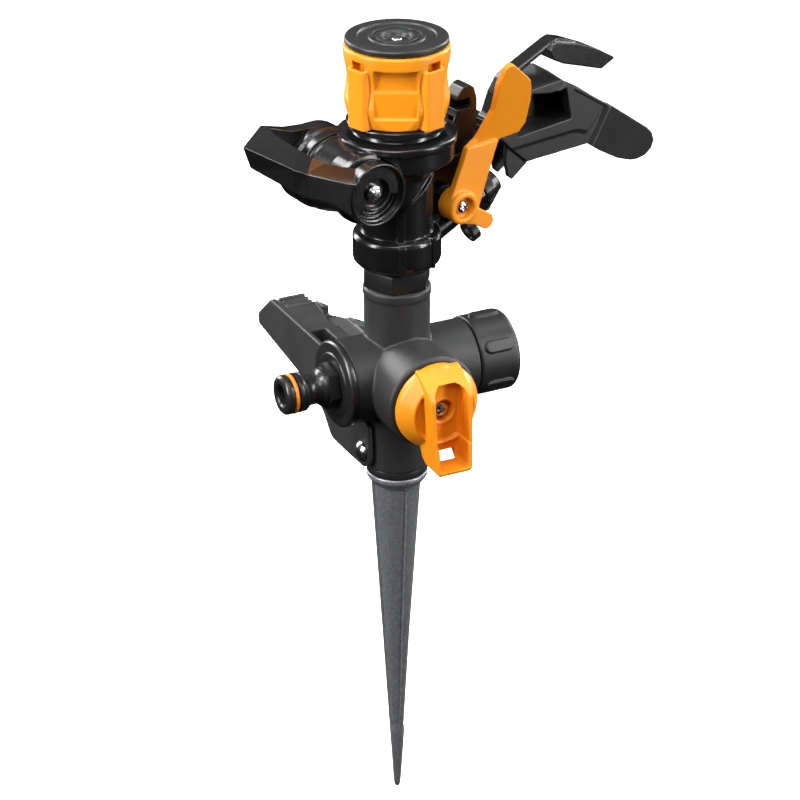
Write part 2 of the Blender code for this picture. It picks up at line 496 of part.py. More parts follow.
# ---------------------------------------------------------------- top knob
def knob_seat():
    return lathe([(3.3, 151.1), (16.8, 151.1), (16.8, 149.2), (18.9, 149.2), (19.3, 149.6), (19.3, 151.6), (18.9, 152.0), (12.0, 152.0), (12.0, 176.0), (3.3, 176.0)], S(20), HM)

def knob_seal():
    return ring_torus(9.15 - 0.0, 11.3, 0, S(10), HM @ T(0, 0, 149.0), 6)

def range_knob():
    z0, z1 = KNOB_Z0, KNOB_Z1
    prof = [(12.3, z0), (18.8, z0), (19.5, z0 + 4.0), (19.8, z0 + 9.0), (19.1, z0 + 14), (18.8, z0 + 18), (19.4, z0 + 22.5),
            (KNOB_R, z1 - 4.0), (KNOB_R, z1 - 0.8), (KNOB_R - 0.8, z1), (12.3, z1)]
    m = lathe(prof, S(21), HM)
    ops = []
    for i in (0, 2):
        ops.append(('-', block(17.2, 23.0, -8.2, 8.2, 158.2, 176.4, HM @ R(53.0 + 90 * i, 'Z'))))
    for i in range(4):
        ops.append(('+', block(15.4, 21.4, -4.6, 4.6, z0 - 0.02, 175.4, HM @ R(8.0 + 90 * i, 'Z'))))
    for i in range(4):
        ops.append(('-', block(17.4, 20.3, -3.2, 3.2, z0 + 3.0, 177.6, HM @ R(8.0 + 90 * i, 'Z'))))
    return boolean(m, ops)

def knob_disc():
    return lathe([(2.4, 181.5), (19.1, 181.5), (19.6, 182.0), (19.6, 183.4), (19.0, DISC_Z1), (14.6, DISC_Z1), (14.4, 183.6),
                  (13.6, 183.6), (13.4, DISC_Z1), (6.0, DISC_Z1), (5.6, 183.2), (2.4, 183.2)], S(20), HM)

def centre_pin():
    return lathe([(0, 144.0), (7.8, 144.0), (7.8, 146.0), (3.0, 146.0), (3.0, 176.5), (2.0, 177.0), (2.0, 182.6), (1.6, 183.0), (0, 183.0)], S(4), HM)

# ---------------------------------------------------------------- materials and pieces
def material(name, rgb, rough, metal=0.0):
    m = bpy.data.materials.get(name) or bpy.data.materials.new(name)
    m.use_nodes = True
    b = m.node_tree.nodes['Principled BSDF']
    b.inputs['Base Color'].default_value = (rgb[0], rgb[1], rgb[2], 1)
    b.inputs['Roughness'].default_value = rough
    b.inputs['Metallic'].default_value = metal
    m.diffuse_color = (rgb[0], rgb[1], rgb[2], 1)
    return m

MATTE = ('matte_black', (0.022, 0.023, 0.025), 0.55, 0.0)
GLOSS = ('gloss_black', (0.010, 0.010, 0.011), 0.25, 0.0)
ORANGE = ('orange_plastic', (0.83, 0.30, 0.02), 0.40, 0.0)
STEEL = ('stainless', (0.70, 0.70, 0.70), 0.25, 1.0)
CAST = ('silver_cast', (0.30, 0.31, 0.33), 0.45, 0.6)
RUBBER = ('rubber', (0.02, 0.02, 0.02), 0.8, 0.0)
WHITE = ('bearing_plastic', (0.70, 0.68, 0.62), 0.45, 0.0)

def piece(name, mesh, finish, origin=(0, 0, 0), angle=35):
    """Link one closed solid as a named object, its origin on its joint axis."""
    o = Vector(origin)
    mesh.transform(Matrix.Translation(-o))
    mesh.transform(Matrix.Scale(0.001, 4))
    mesh.name = name
    mesh.materials.clear()
    mesh.materials.append(material(*finish))
    mesh.polygons.foreach_set('use_smooth', [True] * len(mesh.polygons))
    mesh.update()
    mesh.set_sharp_from_angle(angle=math.radians(angle))
    ob = bpy.data.objects.new(name, mesh)
    ob.location = o * 0.001
    bpy.context.scene.collection.objects.link(ob)
    return ob

def main():
    for ob in list(bpy.data.objects):
        bpy.data.objects.remove(ob)
    arm_o = MA @ Vector((0, 0, 0))
    dif_o = MD @ Vector((0, 0, 0))
    trip_o = HM @ Vector((28.0, 0, 135.2))
    # fixed base
    piece('ground_spike', ground_spike(), CAST)
    piece('spike_socket_ring', socket_ring(), MATTE)
    piece('base_body', base_body(), MATTE)
    piece('inlet_flange', inlet_flange(), MATTE)
    piece('inlet_nipple', inlet_nipple(), MATTE)
    piece('nipple_o_ring', nipple_o_ring(), ORANGE)
    piece('step_rivet', step_rivet(), STEEL)
    piece('swivel_nut', swivel_nut(), GLOSS)
    piece('thrust_washer', thrust_washer(), WHITE)
    # folding step
    piece('foot_step', foot_step(), MATTE, (0, 0, RIVET_Z))
    # flow valve
    piece('valve_knob', valve_knob(), ORANGE, (0, -34.5, LINE_Z))
    piece('valve_plug', valve_plug(), WHITE, (0, -34.5, LINE_Z))
    piece('valve_plug_o_ring', plug_o_ring(), RUBBER, (0, -34.5, LINE_Z))
    piece('valve_screw', valve_screw(), STEEL, (0, -34.5, LINE_Z))
    # outlet plug
    piece('outlet_cap', outlet_cap(), MATTE, (CAP_X0, 0, LINE_Z))
    piece('cap_washer', cap_washer(), RUBBER, (CAP_X0, 0, LINE_Z))
    # turning head
    piece('swivel_tube', swivel_tube(), WHITE)
    piece('head_body', head_body(), GLOSS)
    piece('main_nozzle', main_nozzle(), MATTE)
    piece('spreader_nozzle', nozzle_plate(), MATTE)
    piece('arm_axle', axle(), STEEL, arm_o)
    piece('axle_bush', axle_bush(), WHITE, arm_o)
    piece('arm_torsion_spring', torsion_spring(), STEEL, arm_o)
    piece('knob_seat', knob_seat(), MATTE)
    piece('centre_pin', centre_pin(), STEEL)
    piece('trip_pin', trip_pin(), STEEL, trip_o)
    # drive arm
    piece('counterweight_yoke', counterweight_yoke(), GLOSS, arm_o)
    piece('front_arm', front_arm(), GLOSS, arm_o)
    piece('deflector', deflector(), MATTE, arm_o)
    # jet breaker
    piece('diffuser_lever', diffuser_lever(), ORANGE, dif_o)
    piece('diffuser_screw', diffuser_screw(), STEEL, dif_o)
    # trip lever
    piece('trip_lever', trip_lever(), MATTE, trip_o)
    # top knob
    piece('range_knob', range_knob(), ORANGE, (0, 0, KNOB_Z0))
    piece('knob_disc', knob_disc(), MATTE, (0, 0, KNOB_Z0))

main()
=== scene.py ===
"""Looks of the garden impulse sprinkler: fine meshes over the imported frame,
procedural materials, studio light and camera."""
import bpy, bmesh, math
from mathutils import Matrix, Vector


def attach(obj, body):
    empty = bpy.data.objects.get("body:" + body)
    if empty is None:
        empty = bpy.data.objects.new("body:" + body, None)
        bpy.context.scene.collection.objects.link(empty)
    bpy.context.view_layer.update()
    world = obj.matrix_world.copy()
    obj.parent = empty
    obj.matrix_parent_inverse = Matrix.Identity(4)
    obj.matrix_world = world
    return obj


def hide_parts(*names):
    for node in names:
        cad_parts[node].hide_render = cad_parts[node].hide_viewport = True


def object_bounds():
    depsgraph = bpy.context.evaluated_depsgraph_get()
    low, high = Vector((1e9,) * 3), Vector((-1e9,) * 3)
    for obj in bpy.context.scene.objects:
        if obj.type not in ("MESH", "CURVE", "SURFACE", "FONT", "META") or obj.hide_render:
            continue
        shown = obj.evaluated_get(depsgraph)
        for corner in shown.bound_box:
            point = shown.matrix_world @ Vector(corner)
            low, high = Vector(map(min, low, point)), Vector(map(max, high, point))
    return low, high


# ---------------------------------------------------------------- helpers
def T(x, y, z):
    return Matrix.Translation(Vector((x, y, z)))

def R(deg, axis):
    return Matrix.Rotation(math.radians(deg), 4, axis)

I4 = Matrix.Identity(4)
# (a, b, c) -> (Y, Z, X): side profiles of the base, extruded along X
PX = Matrix(((0, 0, 1, 0), (1, 0, 0, 0), (0, 1, 0, 0), (0, 0, 0, 1)))
# (a, b, c) -> (X, Z, -Y): profiles seen from the front, extruded to the front
PY = R(90, 'X')

def new_mesh(name, verts, faces, M=I4):
    me = bpy.data.meshes.new(name)
    me.from_pydata([M @ Vector(v) for v in verts], [], faces)
    bm = bmesh.new()
    bm.from_mesh(me)
    bmesh.ops.recalc_face_normals(bm, faces=bm.faces)
    if bm.calc_volume(signed=True) < 0:
        bmesh.ops.reverse_faces(bm, faces=bm.faces)
    bm.to_mesh(me)
    bm.free()
    return me

def segs(r, q):
    return max(8, int(round(q * (10 + 1.2 * r) / 2)) * 2)

def lathe(profile, n, M=I4, phase=0.0):
    """Turned solid. profile: (r, z) points, closed back on itself unless it
    starts and ends on the axis."""
    verts, rows, faces = [], [], []
    on_axis = profile[0][0] < 1e-6 and profile[-1][0] < 1e-6
    for r, z in profile:
        if r < 1e-6:
            rows.append([len(verts)])
            verts.append((0, 0, z))
        else:
            rows.append(list(range(len(verts), len(verts) + n)))
            for i in range(n):
                a = phase + 2 * math.pi * i / n
                verts.append((r * math.cos(a), r * math.sin(a), z))
    pairs = list(zip(rows, rows[1:]))
    if not on_axis:
        pairs.append((rows[-1], rows[0]))
    for p, q in pairs:
        if len(p) == 1 and len(q) == 1:
            continue
        for i in range(n):
            j = (i + 1) % n
            if len(p) == 1:
                faces.append((p[0], q[i], q[j]))
            elif len(q) == 1:
                faces.append((p[i], q[0], p[j]))
            else:
                faces.append((p[i], q[i], q[j], p[j]))
    return new_mesh('turned', verts, faces, M)

def rod(r, z0, z1, n, M=I4, phase=0.0):
    return lathe([(0, z0), (r, z0), (r, z1), (0, z1)], n, M, phase)

def tube(ro, ri, z0, z1, n, M=I4):
    return lathe([(ri, z0), (ro, z0), (ro, z1), (ri, z1)], n, M)

def prism(poly, z0, z1, M=I4):
    n = len(poly)
    verts = [(x, y, z0) for x, y in poly] + [(x, y, z1) for x, y in poly]
    faces = [tuple(range(n))[::-1], tuple(range(n, 2 * n))]
    for i in range(n):
        j = (i + 1) % n
        faces.append((i, j, n + j, n + i))
    return new_mesh('prism', verts, faces, M)

def block(x0, x1, y0, y1, z0, z1, M=I4):
    return prism([(x0, y0), (x1, y0), (x1, y1), (x0, y1)], z0, z1, M)

def loft(rings, M=I4, closed=False):
    n = len(rings[0])
    verts = [v for r in rings for v in r]
    faces = []
    m = len(rings)
    for k in range(m if closed else m - 1):
        a, b = k * n, ((k + 1) % m) * n
        for i in range(n):
            j = (i + 1) % n
            faces.append((a + i, a + j, b + j, b + i))
    if not closed:
        faces.append(tuple(range(n))[::-1])
        faces.append(tuple(range((m - 1) * n, m * n)))
    return new_mesh('loft', verts, faces, M)

def rounded(poly, rad, n=4):
    """Round the corners of a polygon. rad: one radius or one per corner."""
    out = []
    m = len(poly)
    for i in range(m):
        p0, p, p1 = (Vector(poly[i - 1]), Vector(poly[i]), Vector(poly[(i + 1) % m]))
        r = rad[i] if isinstance(rad, (list, tuple)) else rad
        a, b = (p0 - p), (p1 - p)
        la, lb = a.length, b.length
        a.normalize()
        b.normalize()
        ang = math.acos(max(-1, min(1, a.dot(b))))
        if r <= 1e-6 or ang > math.radians(176):
            out.append((p.x, p.y))
            continue
        d = min(r / math.tan(ang / 2), 0.48 * la, 0.48 * lb)
        rr = d * math.tan(ang / 2)
        c = p + (a + b).normalized() * (rr / math.sin(ang / 2))
        s, e = p + a * d - c, p + b * d - c
        sweep = math.atan2(s.x * e.y - s.y * e.x, s.dot(e))
        for k in range(n + 1):
            t = sweep * k / n
            v = Vector((s.x * math.cos(t) - s.y * math.sin(t),
                        s.x * math.sin(t) + s.y * math.cos(t))) + c
            out.append((v.x, v.y))
    return out

def circle(r, n, cx=0.0, cy=0.0, phase=0.0):
    return [(cx + r * math.cos(phase + 2 * math.pi * i / n),
             cy + r * math.sin(phase + 2 * math.pi * i / n)) for i in range(n)]

def boolean(base, ops):
    """base: mesh; ops: list of ('+' or '-', mesh). Returns the new mesh."""
    a = bpy.data.objects.new('work', base)
    bpy.context.scene.collection.objects.link(a)
    cut = []
    for kind, me in ops:
        b = bpy.data.objects.new('tool', me)
        b.hide_render = True
        b.display_type = 'WIRE'
        bpy.context.scene.collection.objects.link(b)
        cut.append(b)
        m = a.modifiers.new('bool', 'BOOLEAN')
        m.solver = 'EXACT'
        m.operation = 'UNION' if kind == '+' else 'DIFFERENCE'
        m.object = b
    dg = bpy.context.evaluated_depsgraph_get()
    dg.update()
    out = bpy.data.meshes.new_from_object(a.evaluated_get(dg))
    for o in [a] + cut:
        bpy.data.objects.remove(o)
    return clean(out)

def clean(me, dist=0.002):
    bm = bmesh.new()
    bm.from_mesh(me)
    bmesh.ops.remove_doubles(bm, verts=bm.verts, dist=dist)
    bmesh.ops.dissolve_degenerate(bm, edges=bm.edges, dist=dist)
    bm.to_mesh(me)
    bm.free()
    return me

# ---------------------------------------------------------------- driving dimensions (mm)
# Z = 0 is the ground line, under the spike's collar. X is the hose line
# (inlet at -X, plugged outlet at +X), the flow valve points to -Y.
SPIKE_LEN = 150.0        # collar underside to tip
SPIKE_R = 9.9            # spike radius under the collar
COLLAR_R = 12.2
STUB_R = 8.0             # spike stub inside the body socket
BODY_R = 13.0            # vertical tube of the cross body
LINE_Z = 45.6            # height of the hose line
INLET_R = 17.0
OUTLET_R = 15.6
VALVE_R = 18.7
FLANGE_X = -28.0
NIPPLE_X = -50.3         # nipple mouth
NIPPLE_R = 7.9
VALVE_Y = -34.5          # rim of the valve knob
CAP_X0, CAP_X1, CAP_R = 29.8, 47.2, 16.2
RIVET_Z = 13.4
NECK_TOP = 83.6
NUT_AF = 24.0
SKIRT_R = 16.9
COLUMN_R = 14.0
CUP_R = 22.0
CUP_Z0, CUP_Z1 = 136.3, 146.8
KNOB_Z0, KNOB_Z1, KNOB_R = 152.3, 181.2, 20.2
DISC_Z1 = 184.0
HEAD_YAW = 9.5           # the head's heading at rest, degrees about Z
PIVOT_F, PIVOT_Z = -23.0, 132.0      # drive arm axle, in the head's own frame
DIFF_F, DIFF_Z = 20.0, 115.0         # diffuser lever pivot
MOUTH_F, MOUTH_Z = 46.5, 115.5       # main nozzle mouth
JET_DEG = 25.0
GAP = 0.3                # running clearance between neighbours
Q = 3.4

HM = R(HEAD_YAW, 'Z')                 # head frame: x forward, -y near side
PN = HM @ PY                          # (f, z, n) -> head
MX = T(0, 0, LINE_Z) @ PX             # local z along +X on the hose line
MV = T(0, 0, LINE_Z) @ PY             # local z towards the front on the valve axis
MA = PN @ T(PIVOT_F, PIVOT_Z, 0)      # local z along the drive arm axle, near side +
MD = PN @ T(DIFF_F, DIFF_Z, 0)        # local z along the diffuser lever axle
# local z along the jet
MJ = HM @ T(MOUTH_F, 0, MOUTH_Z) @ R(90 - JET_DEG, 'Y')

# local z forward along the head
PXF = R(90, 'Y')

def S(r):
    return segs(r, Q)

# ---------------------------------------------------------------- base
def ground_spike():
    n = 24
    rings = []
    def ring(z, r, dip):
        out = []
        for i in range(n):
            a = 2 * math.pi * i / n
            k = i % 6
            d = dip if k in (2, 3, 4) else (dip * 0.5 if False else 0.0)
            out.append(((r - d) * math.cos(a + 0.55), (r - d) * math.sin(a + 0.55), z))
        return out
    L = SPIKE_LEN
    rings.append(ring(-L, 0.9, 0))
    rings.append(ring(-L + 2, 1.5, 0))
    rings.append(ring(-L * 0.80, 3.2, 0.0))
    rings.append(ring(-L * 0.74, 3.75, 0.5))
    rings.append(ring(-L * 0.4, 6.6, 0.9))
    rings.append(ring(-6.5, 9.4, 1.1))
    rings.append(ring(-4.5, 9.6, 0))
    rings.append(ring(-2.0, SPIKE_R, 0))
    rings.append(ring(0.0, COLLAR_R - 0.8, 0))
    rings.append(ring(0.6, COLLAR_R, 0))
    rings.append(ring(2.6, COLLAR_R, 0))
    rings.append(ring(2.6, STUB_R, 0))
    rings.append(ring(24.0, STUB_R, 0))
    m = loft(rings)
    hole = rod(2.6, -12, 12, 10, T(0, 0, RIVET_Z) @ PX)
    return boolean(m, [('-', hole)])

def socket_ring():
    return lathe([(STUB_R + GAP, 2.9), (12.2, 2.9), (12.4, 4.0), (12.4, 6.0), (STUB_R + GAP, 6.0)], S(12))

def base_body():
    n = S(14)
    m = rod(BODY_R, 6.3, LINE_Z, n)
    neck = lathe([(0, LINE_Z - 5), (BODY_R - .05, LINE_Z - 5), (BODY_R - .05, 79.4), (BODY_R + .35, 79.8),
                  (BODY_R + .35, 82.6), (12.4, NECK_TOP), (0, NECK_TOP)], n)
    inlet = rod(INLET_R, -24.6, 0.5, S(17), MX)
    outlet = lathe([(0, -0.5), (OUTLET_R, -0.5), (OUTLET_R, 29.4), (12.2, 29.4), (12.2, 41), (0, 41)], S(15), MX)
    boss = lathe([(0, -6), (15.0, -6), (VALVE_R - 1.2, 8), (VALVE_R, 14), (VALVE_R, 30.6), (VALVE_R - 1, 31.6), (0, 31.6)], S(18), MV)
    cuts = [
        rod(10.0, 58, 95, S(10)),                       # swivel bearing bore
        rod(5.0, LINE_Z - 2, 60, S(5)),                 # waterway up
        rod(7.6, -40, -11, S(7), MX),                   # inlet thread
        rod(5.0, -13, 13, S(5), MX),
        rod(8.0, 11, 50, S(8), MX),                     # outlet
        rod(9.5, -10, 40, S(9), MV),                    # valve chamber
        rod(STUB_R + GAP, 0, 25, S(8)),                 # spike socket
        rod(2.6, -20, 20, 10, T(0, 0, RIVET_Z) @ PX),   # rivet hole
    ]
    return boolean(m, [('+', neck), ('+', inlet), ('+', outlet), ('+', boss)] + [('-', c) for c in cuts])

def inlet_flange():
    # welded end plate that carries the nipple's seat
    return lathe([(7.5, -28.0), (12.5, -28.0), (12.7, -27.6), (16.6, -27.6), (17.4, -26.9), (17.4, -24.9), (7.5, -24.9)], S(17), MX)

def inlet_nipple():
    prof = [(4.1, -49.6), (4.7, -50.3), (6.9, -50.3), (7.9, -49.3), (7.9, -47.3), (6.3, -47.3), (6.3, -44.7),
            (7.9, -44.7), (7.9, -41.6), (7.2, -40.8), (6.0, -39.6), (6.0, -35.2), (7.0, -34.0), (8.8, -33.2),
            (8.8, -28.4), (7.2, -28.4), (7.2, -12.0), (4.1, -12.0)]
    return lathe(prof, S(9), MX)

def nipple_o_ring():
    return ring_torus(6.3 + 0.15, 8.05, -46.0, S(8), MX)

def ring_torus(ri, ro, z, n, M, k=8):
    c, r = (ri + ro) / 2, (ro - ri) / 2
    return lathe([(c + r * math.cos(2 * math.pi * i / k + math.pi / k), z + r * math.sin(2 * math.pi * i / k + math.pi / k)) for i in range(k)], n, M)

def step_rivet():
    x = 15.5
    prof = [(0, -x - 2.0), (2.0, -x - 1.9), (3.6, -x - 1.1), (4.3, -x - GAP), (4.3, -x), (2.2, -x),
            (2.2, x), (4.3, x), (4.3, x + GAP), (3.6, x + 1.1), (2.0, x + 1.9), (0, x + 2.0)]
    return lathe(prof, S(6), T(0, 0, RIVET_Z) @ PX)

def foot_step():
    out = rounded([(-5.5, 9.0), (0, 6.4), (29.3, 6.0), (37.5, 15.0), (61.6, 22.0), (101.0, 27.4), (101.0, 32.4),
                   (88.0, 43.6), (24.0, 43.6), (19.0, 40.0), (15.0, 31.0), (6.0, 28.2), (-5.0, 26.4), (-5.5, 17.8)],
                  [4, 2, 6, 8, 6, 1.5, 2, 3, 2, 3, 5, 2, 3, 4], 3)
    m = prism(out, -15.3, 15.3, PX)
    inner = prism([(-12, 2), (28, 2), (38, 12), (62, 19.5), (72, 21), (66, 47), (-12, 47)], -BODY_R - GAP, BODY_R + GAP, PX)
    under = prism([(60, 24.4), (96, 28.8), (95.5, 30.4), (66, 37.5)], -13.3, 13.3, PX)
    # web between the walls, with the small window next to the near wall
    web = block(-14.0, 14.0, 27.0, 69.0, 34.5, 41.5)
    window = block(-12.6, -5.0, 43.5, 56.6, 30.0, 50.0)
    # the far corner is cut back on the slant and closed by a wall
    corner = prism([(-3.0, 92.0), (12.5, 50.0), (15.6, 42.0), (40, 42), (40, 120), (-3.0, 120)], -5, 70)
    wall = loft([[(12.9, 43.0, 17.0), (15.2, 43.0, 17.0), (15.2, 43.0, 43.4), (12.9, 43.0, 43.4)],
                 [(-5.3, 91.2, 26.6), (-3.1, 91.9, 26.6), (-3.1, 91.9, 40.0), (-5.3, 91.2, 40.0)]])
    return boolean(m, [('-', inner), ('+', web), ('-', under), ('-', window), ('-', corner), ('+', wall),
                       ('-', rod(2.6, -20, 20, 10, T(0, 0, RIVET_Z) @ PX))])

def valve_plug():
    m = lathe([(0, -9.4), (9.0, -9.4), (9.2, 0), (9.2, 12.0), (8.0, 12.0), (8.0, 14.2), (9.2, 14.2), (9.2, 17),
               (5.0, 17), (5.0, 33.0), (0, 33.0)], S(9), MV)
    cuts = [rod(4.6, -12, 12, 12, MX), rod(4.6, 0, 15, 12, T(0, 0, LINE_Z)),
            rod(1.5, 26, 40, 8, MV)]
    return boolean(m, [('-', c) for c in cuts])

def plug_o_ring():
    return ring_torus(8.05, 9.4, 13.1, S(9), MV, 6)

def valve_knob():
    # base disc, cone and hub
    body = lathe([(0, 32.0), (16.4, 32.0), (17.2, 32.6), (17.2, 35.2), (16.2, 36.4), (9.6, 41.4), (8.6, 42.7), (0, 42.7)], S(18), MV)
    handle = rounded([(-8.9, 10.0), (-8.9, 6.0), (-7.4, -23.2), (7.4, -23.2), (8.9, 6.0), (8.9, 10.0)],
                     [0.5, 6, 2.5, 2.5, 6, 0.5], 3)
    grip = prism(handle, 34.0, 50.0, MV)
    slot = prism(rounded([(-6.9, 20.0), (-6.9, 6.0), (-5.8, -21.2), (5.8, -21.2), (6.9, 6.0), (6.9, 20.0)],
                         [0, 3, 1.2, 1.2, 3, 0], 2), 41.9, 60.0, MV)
    slope = prism([(38.0, 12), (60, 12), (60, 5.0)], -20, 20,
                  T(0, 0, LINE_Z) @ Matrix(((0, 0, 1, 0), (-1, 0, 0, 0), (0, 1, 0, 0), (0, 0, 0, 1))))
    window = block(-3.2, 3.2, -21.0, -17.9, 30, 45, MV)
    cuts = [('-', slope), ('-', slot), ('-', window), ('-', rod(4.0, 36.0, 60, S(4), MV)),
            ('-', rod(1.9, 30, 50, 10, MV)), ('-', rod(5.0 + GAP, 30, 33.4, S(5), MV))]
    return boolean(body, [('+', grip)] + cuts)

def valve_screw():
    return lathe([(0, 27.0), (1.35, 27.0), (1.35, 36.4), (3.2, 36.4), (3.2, 38.0), (2.4, 38.6), (0, 38.6)], S(3), MV)

def outlet_cap():
    m = lathe([(0, CAP_X1), (CAP_R - 1.2, CAP_X1), (CAP_R, CAP_X1 - 1.2), (CAP_R, CAP_X0), (12.6, CAP_X0),
               (12.6, CAP_X1 - 2.6), (0, CAP_X1 - 2.6)], S(15), MX)
    ops = []
    for i in range(6):
        a = math.radians(30 + 60 * i)
        ops.append(('+', block(-0.5, 1.15, -1.5, 1.5, CAP_X0 + 1.5, CAP_X1 - 3.0,
                               MX @ R(math.degrees(a), 'Z') @ T(CAP_R, 0, 0))))
    return boolean(m, ops)

def cap_washer():
    return tube(12.2, 8.0, 41.4, 43.2, S(12), MX)

def swivel_nut():
    r = NUT_AF / 2 / math.cos(math.pi / 6)
    hexa = prism(circle(r, 6, phase=math.radians(30 + 26)), NECK_TOP + 0.4, 91.1)
    stub = rod(9.6, 62.0, NECK_TOP + 1, S(9))
    return boolean(hexa, [('+', stub), ('-', rod(5.7, 50, 100, S(6)))])

def thrust_washer():
    return tube(8.8, 5.6, 60.7, 61.7, S(8))

def swivel_tube():
    return lathe([(3.6, 58.4), (8.4, 58.4), (8.4, 60.4), (5.3, 60.4), (5.3, 107.0), (3.6, 107.0)], S(6))

def nut_o_ring():
    return ring_torus(9.75, 12.3, 84.9 - 1.2 + 0, S(10), I4, 6)

# ---------------------------------------------------------------- head
def head_body():
    n = S(15)
    m = lathe([(0, 91.6), (12.6, 91.6), (14.0, 92.0), (SKIRT_R, 94.6), (SKIRT_R, 105.2), (SKIRT_R - 0.8, 106.0),
               (COLUMN_R, 106.4), (COLUMN_R, 130), (16.5, 136.0), (0, 136.0)], n, HM)
    cup = lathe([(0, 134), (18, 134), (CUP_R, CUP_Z0 + .6), (CUP_R, CUP_Z1 - 0.6), (CUP_R - 0.6, CUP_Z1), (17.0, CUP_Z1),
                 (16.2, 148.6), (16.2, 150.8), (0, 150.8)], S(22), HM)
    barrel = lathe([(0, -17.4), (15.6, -17.4), (15.6, -13.4), (15.0, -13.0), (15.4, -12.6), (15.4, -8.8), (14.2, -8.4), (14.2, -6.6), (14.8, -6.0), (12.6, 2), (12.3, 13.6), (0, 13.6)], n, MA)
    bridge = prism([(-22, 120), (6, 112), (6, 142), (-22, 144)], -12, 11, PN)
    jet = lathe([(0, -37), (5.3, -37), (5.2, -8.0), (0, -8.0)], S(6), MJ)
    strut = prism([(8, 106.5), (16, 106), (25, 111.2), (25, 118.6), (19, 120.5), (8, 120.5)], -4.0, 4.0, PN)
    dboss = rod(5.2, 0, 7.7, S(5), MD)
    post = prism([(15, 128), (26, 127), (33.5, 127), (33.5, 131.8), (23.9, 131.8), (23.9, 138.2), (20, 138.6), (15, 138)], -3.0, 3.0, PN)
    web = prism([(10, 118), (21, 119), (27, 131), (20, 138), (10, 136)], -2.0, 2.0, PN)
    cuts = [rod(5.7, 90, 108.5, S(6)), rod(4.0, 100, 112.0, S(5), HM),
            rod(3.2, -46.0, 5, S(4), MJ),
            rod(9.8, -14.5, 30, S(9), MA),              # spring chamber
            rod(2.4, -30, 30, 10, MA),                  # axle bore
            rod(1.3, 3.0, 20, 8, MD),
            rod(9.0, 143.0, 160, S(9), HM),             # shaft seat of the knob
            rod(1.3, 21.2, 30, 8, HM @ T(0, 0, 135.2) @ PXF),
            rod(12.6, 13.65, 40, S(13), MA),            # clearance round the near hub
            rod(16.5, -50, -17.45, S(16), MA),          # and round the far hub
            ]
    return boolean(m, [('+', cup), ('+', barrel), ('+', bridge), ('+', jet), ('+', strut), ('+', dboss), ('+', post), ('+', web)]
                   + [('-', c) for c in cuts])

def main_nozzle():
    # jet tip inside the mouth ring
    return lathe([(1.7, -7.6), (3.0, -7.6), (3.0, -0.8), (2.3, -0.8), (1.7, -2.6)], S(4), MJ)

def nozzle_plate():
    # mouth ring and the low spreader port, joined by a link plate
    low = HM @ T(33.6, -4.0, 99.2) @ R(90 - JET_DEG, 'Y')
    mouth = lathe([(0, -7.7), (5.2, -7.7), (5.2, -3.0), (4.7, 0), (0, 0)], S(5), MJ)
    port = lathe([(0, -3.0), (4.4, -3.0), (4.4, 0.6), (0, 0.6)], S(5), low)
    link = prism([(33.2, 101.2), (36.4, 98.4), (46.3, 112.0), (42.6, 111.6), (41.2, 106.4)], -0.4, 4.4, PN)
    return boolean(mouth, [('+', link), ('+', port), ('-', rod(3.3, -9, 9, S(3), MJ)), ('-', rod(2.5, -9, 9, S(3), low))])

def axle():
    x0, x1 = -26.6, 19.4
    return lathe([(0, x0), (1.5, x0), (2.0, x0 + .5), (2.0, x1 - 2.2), (1.5, x1 - 2.2), (1.5, x1 - 0.3), (1.2, x1), (0, x1)], S(3), MA)

def axle_bush():
    return lathe([(2.3, 10.0), (9.4, 10.0), (9.4, 13.2), (2.3, 13.2)], S(9), MA)

def torsion_spring():
    r, w, turns, k = 7.2, 0.75, 5, 12
    rings = []
    z0, z1 = -11.5, 7.5
    steps = turns * k
    for i in range(steps + 1):
        a = 2 * math.pi * i / k
        z = z0 + (z1 - z0) * i / steps
        c = Vector((r * math.cos(a), r * math.sin(a), z))
        e1 = Vector((math.cos(a), math.sin(a), 0))
        e2 = Vector((0, 0, 1))
        rings.append([tuple(c + e1 * w * math.cos(t) + e2 * w * math.sin(t)) for t in [2 * math.pi * j / 6 for j in range(6)]])
    return loft(rings, MA)

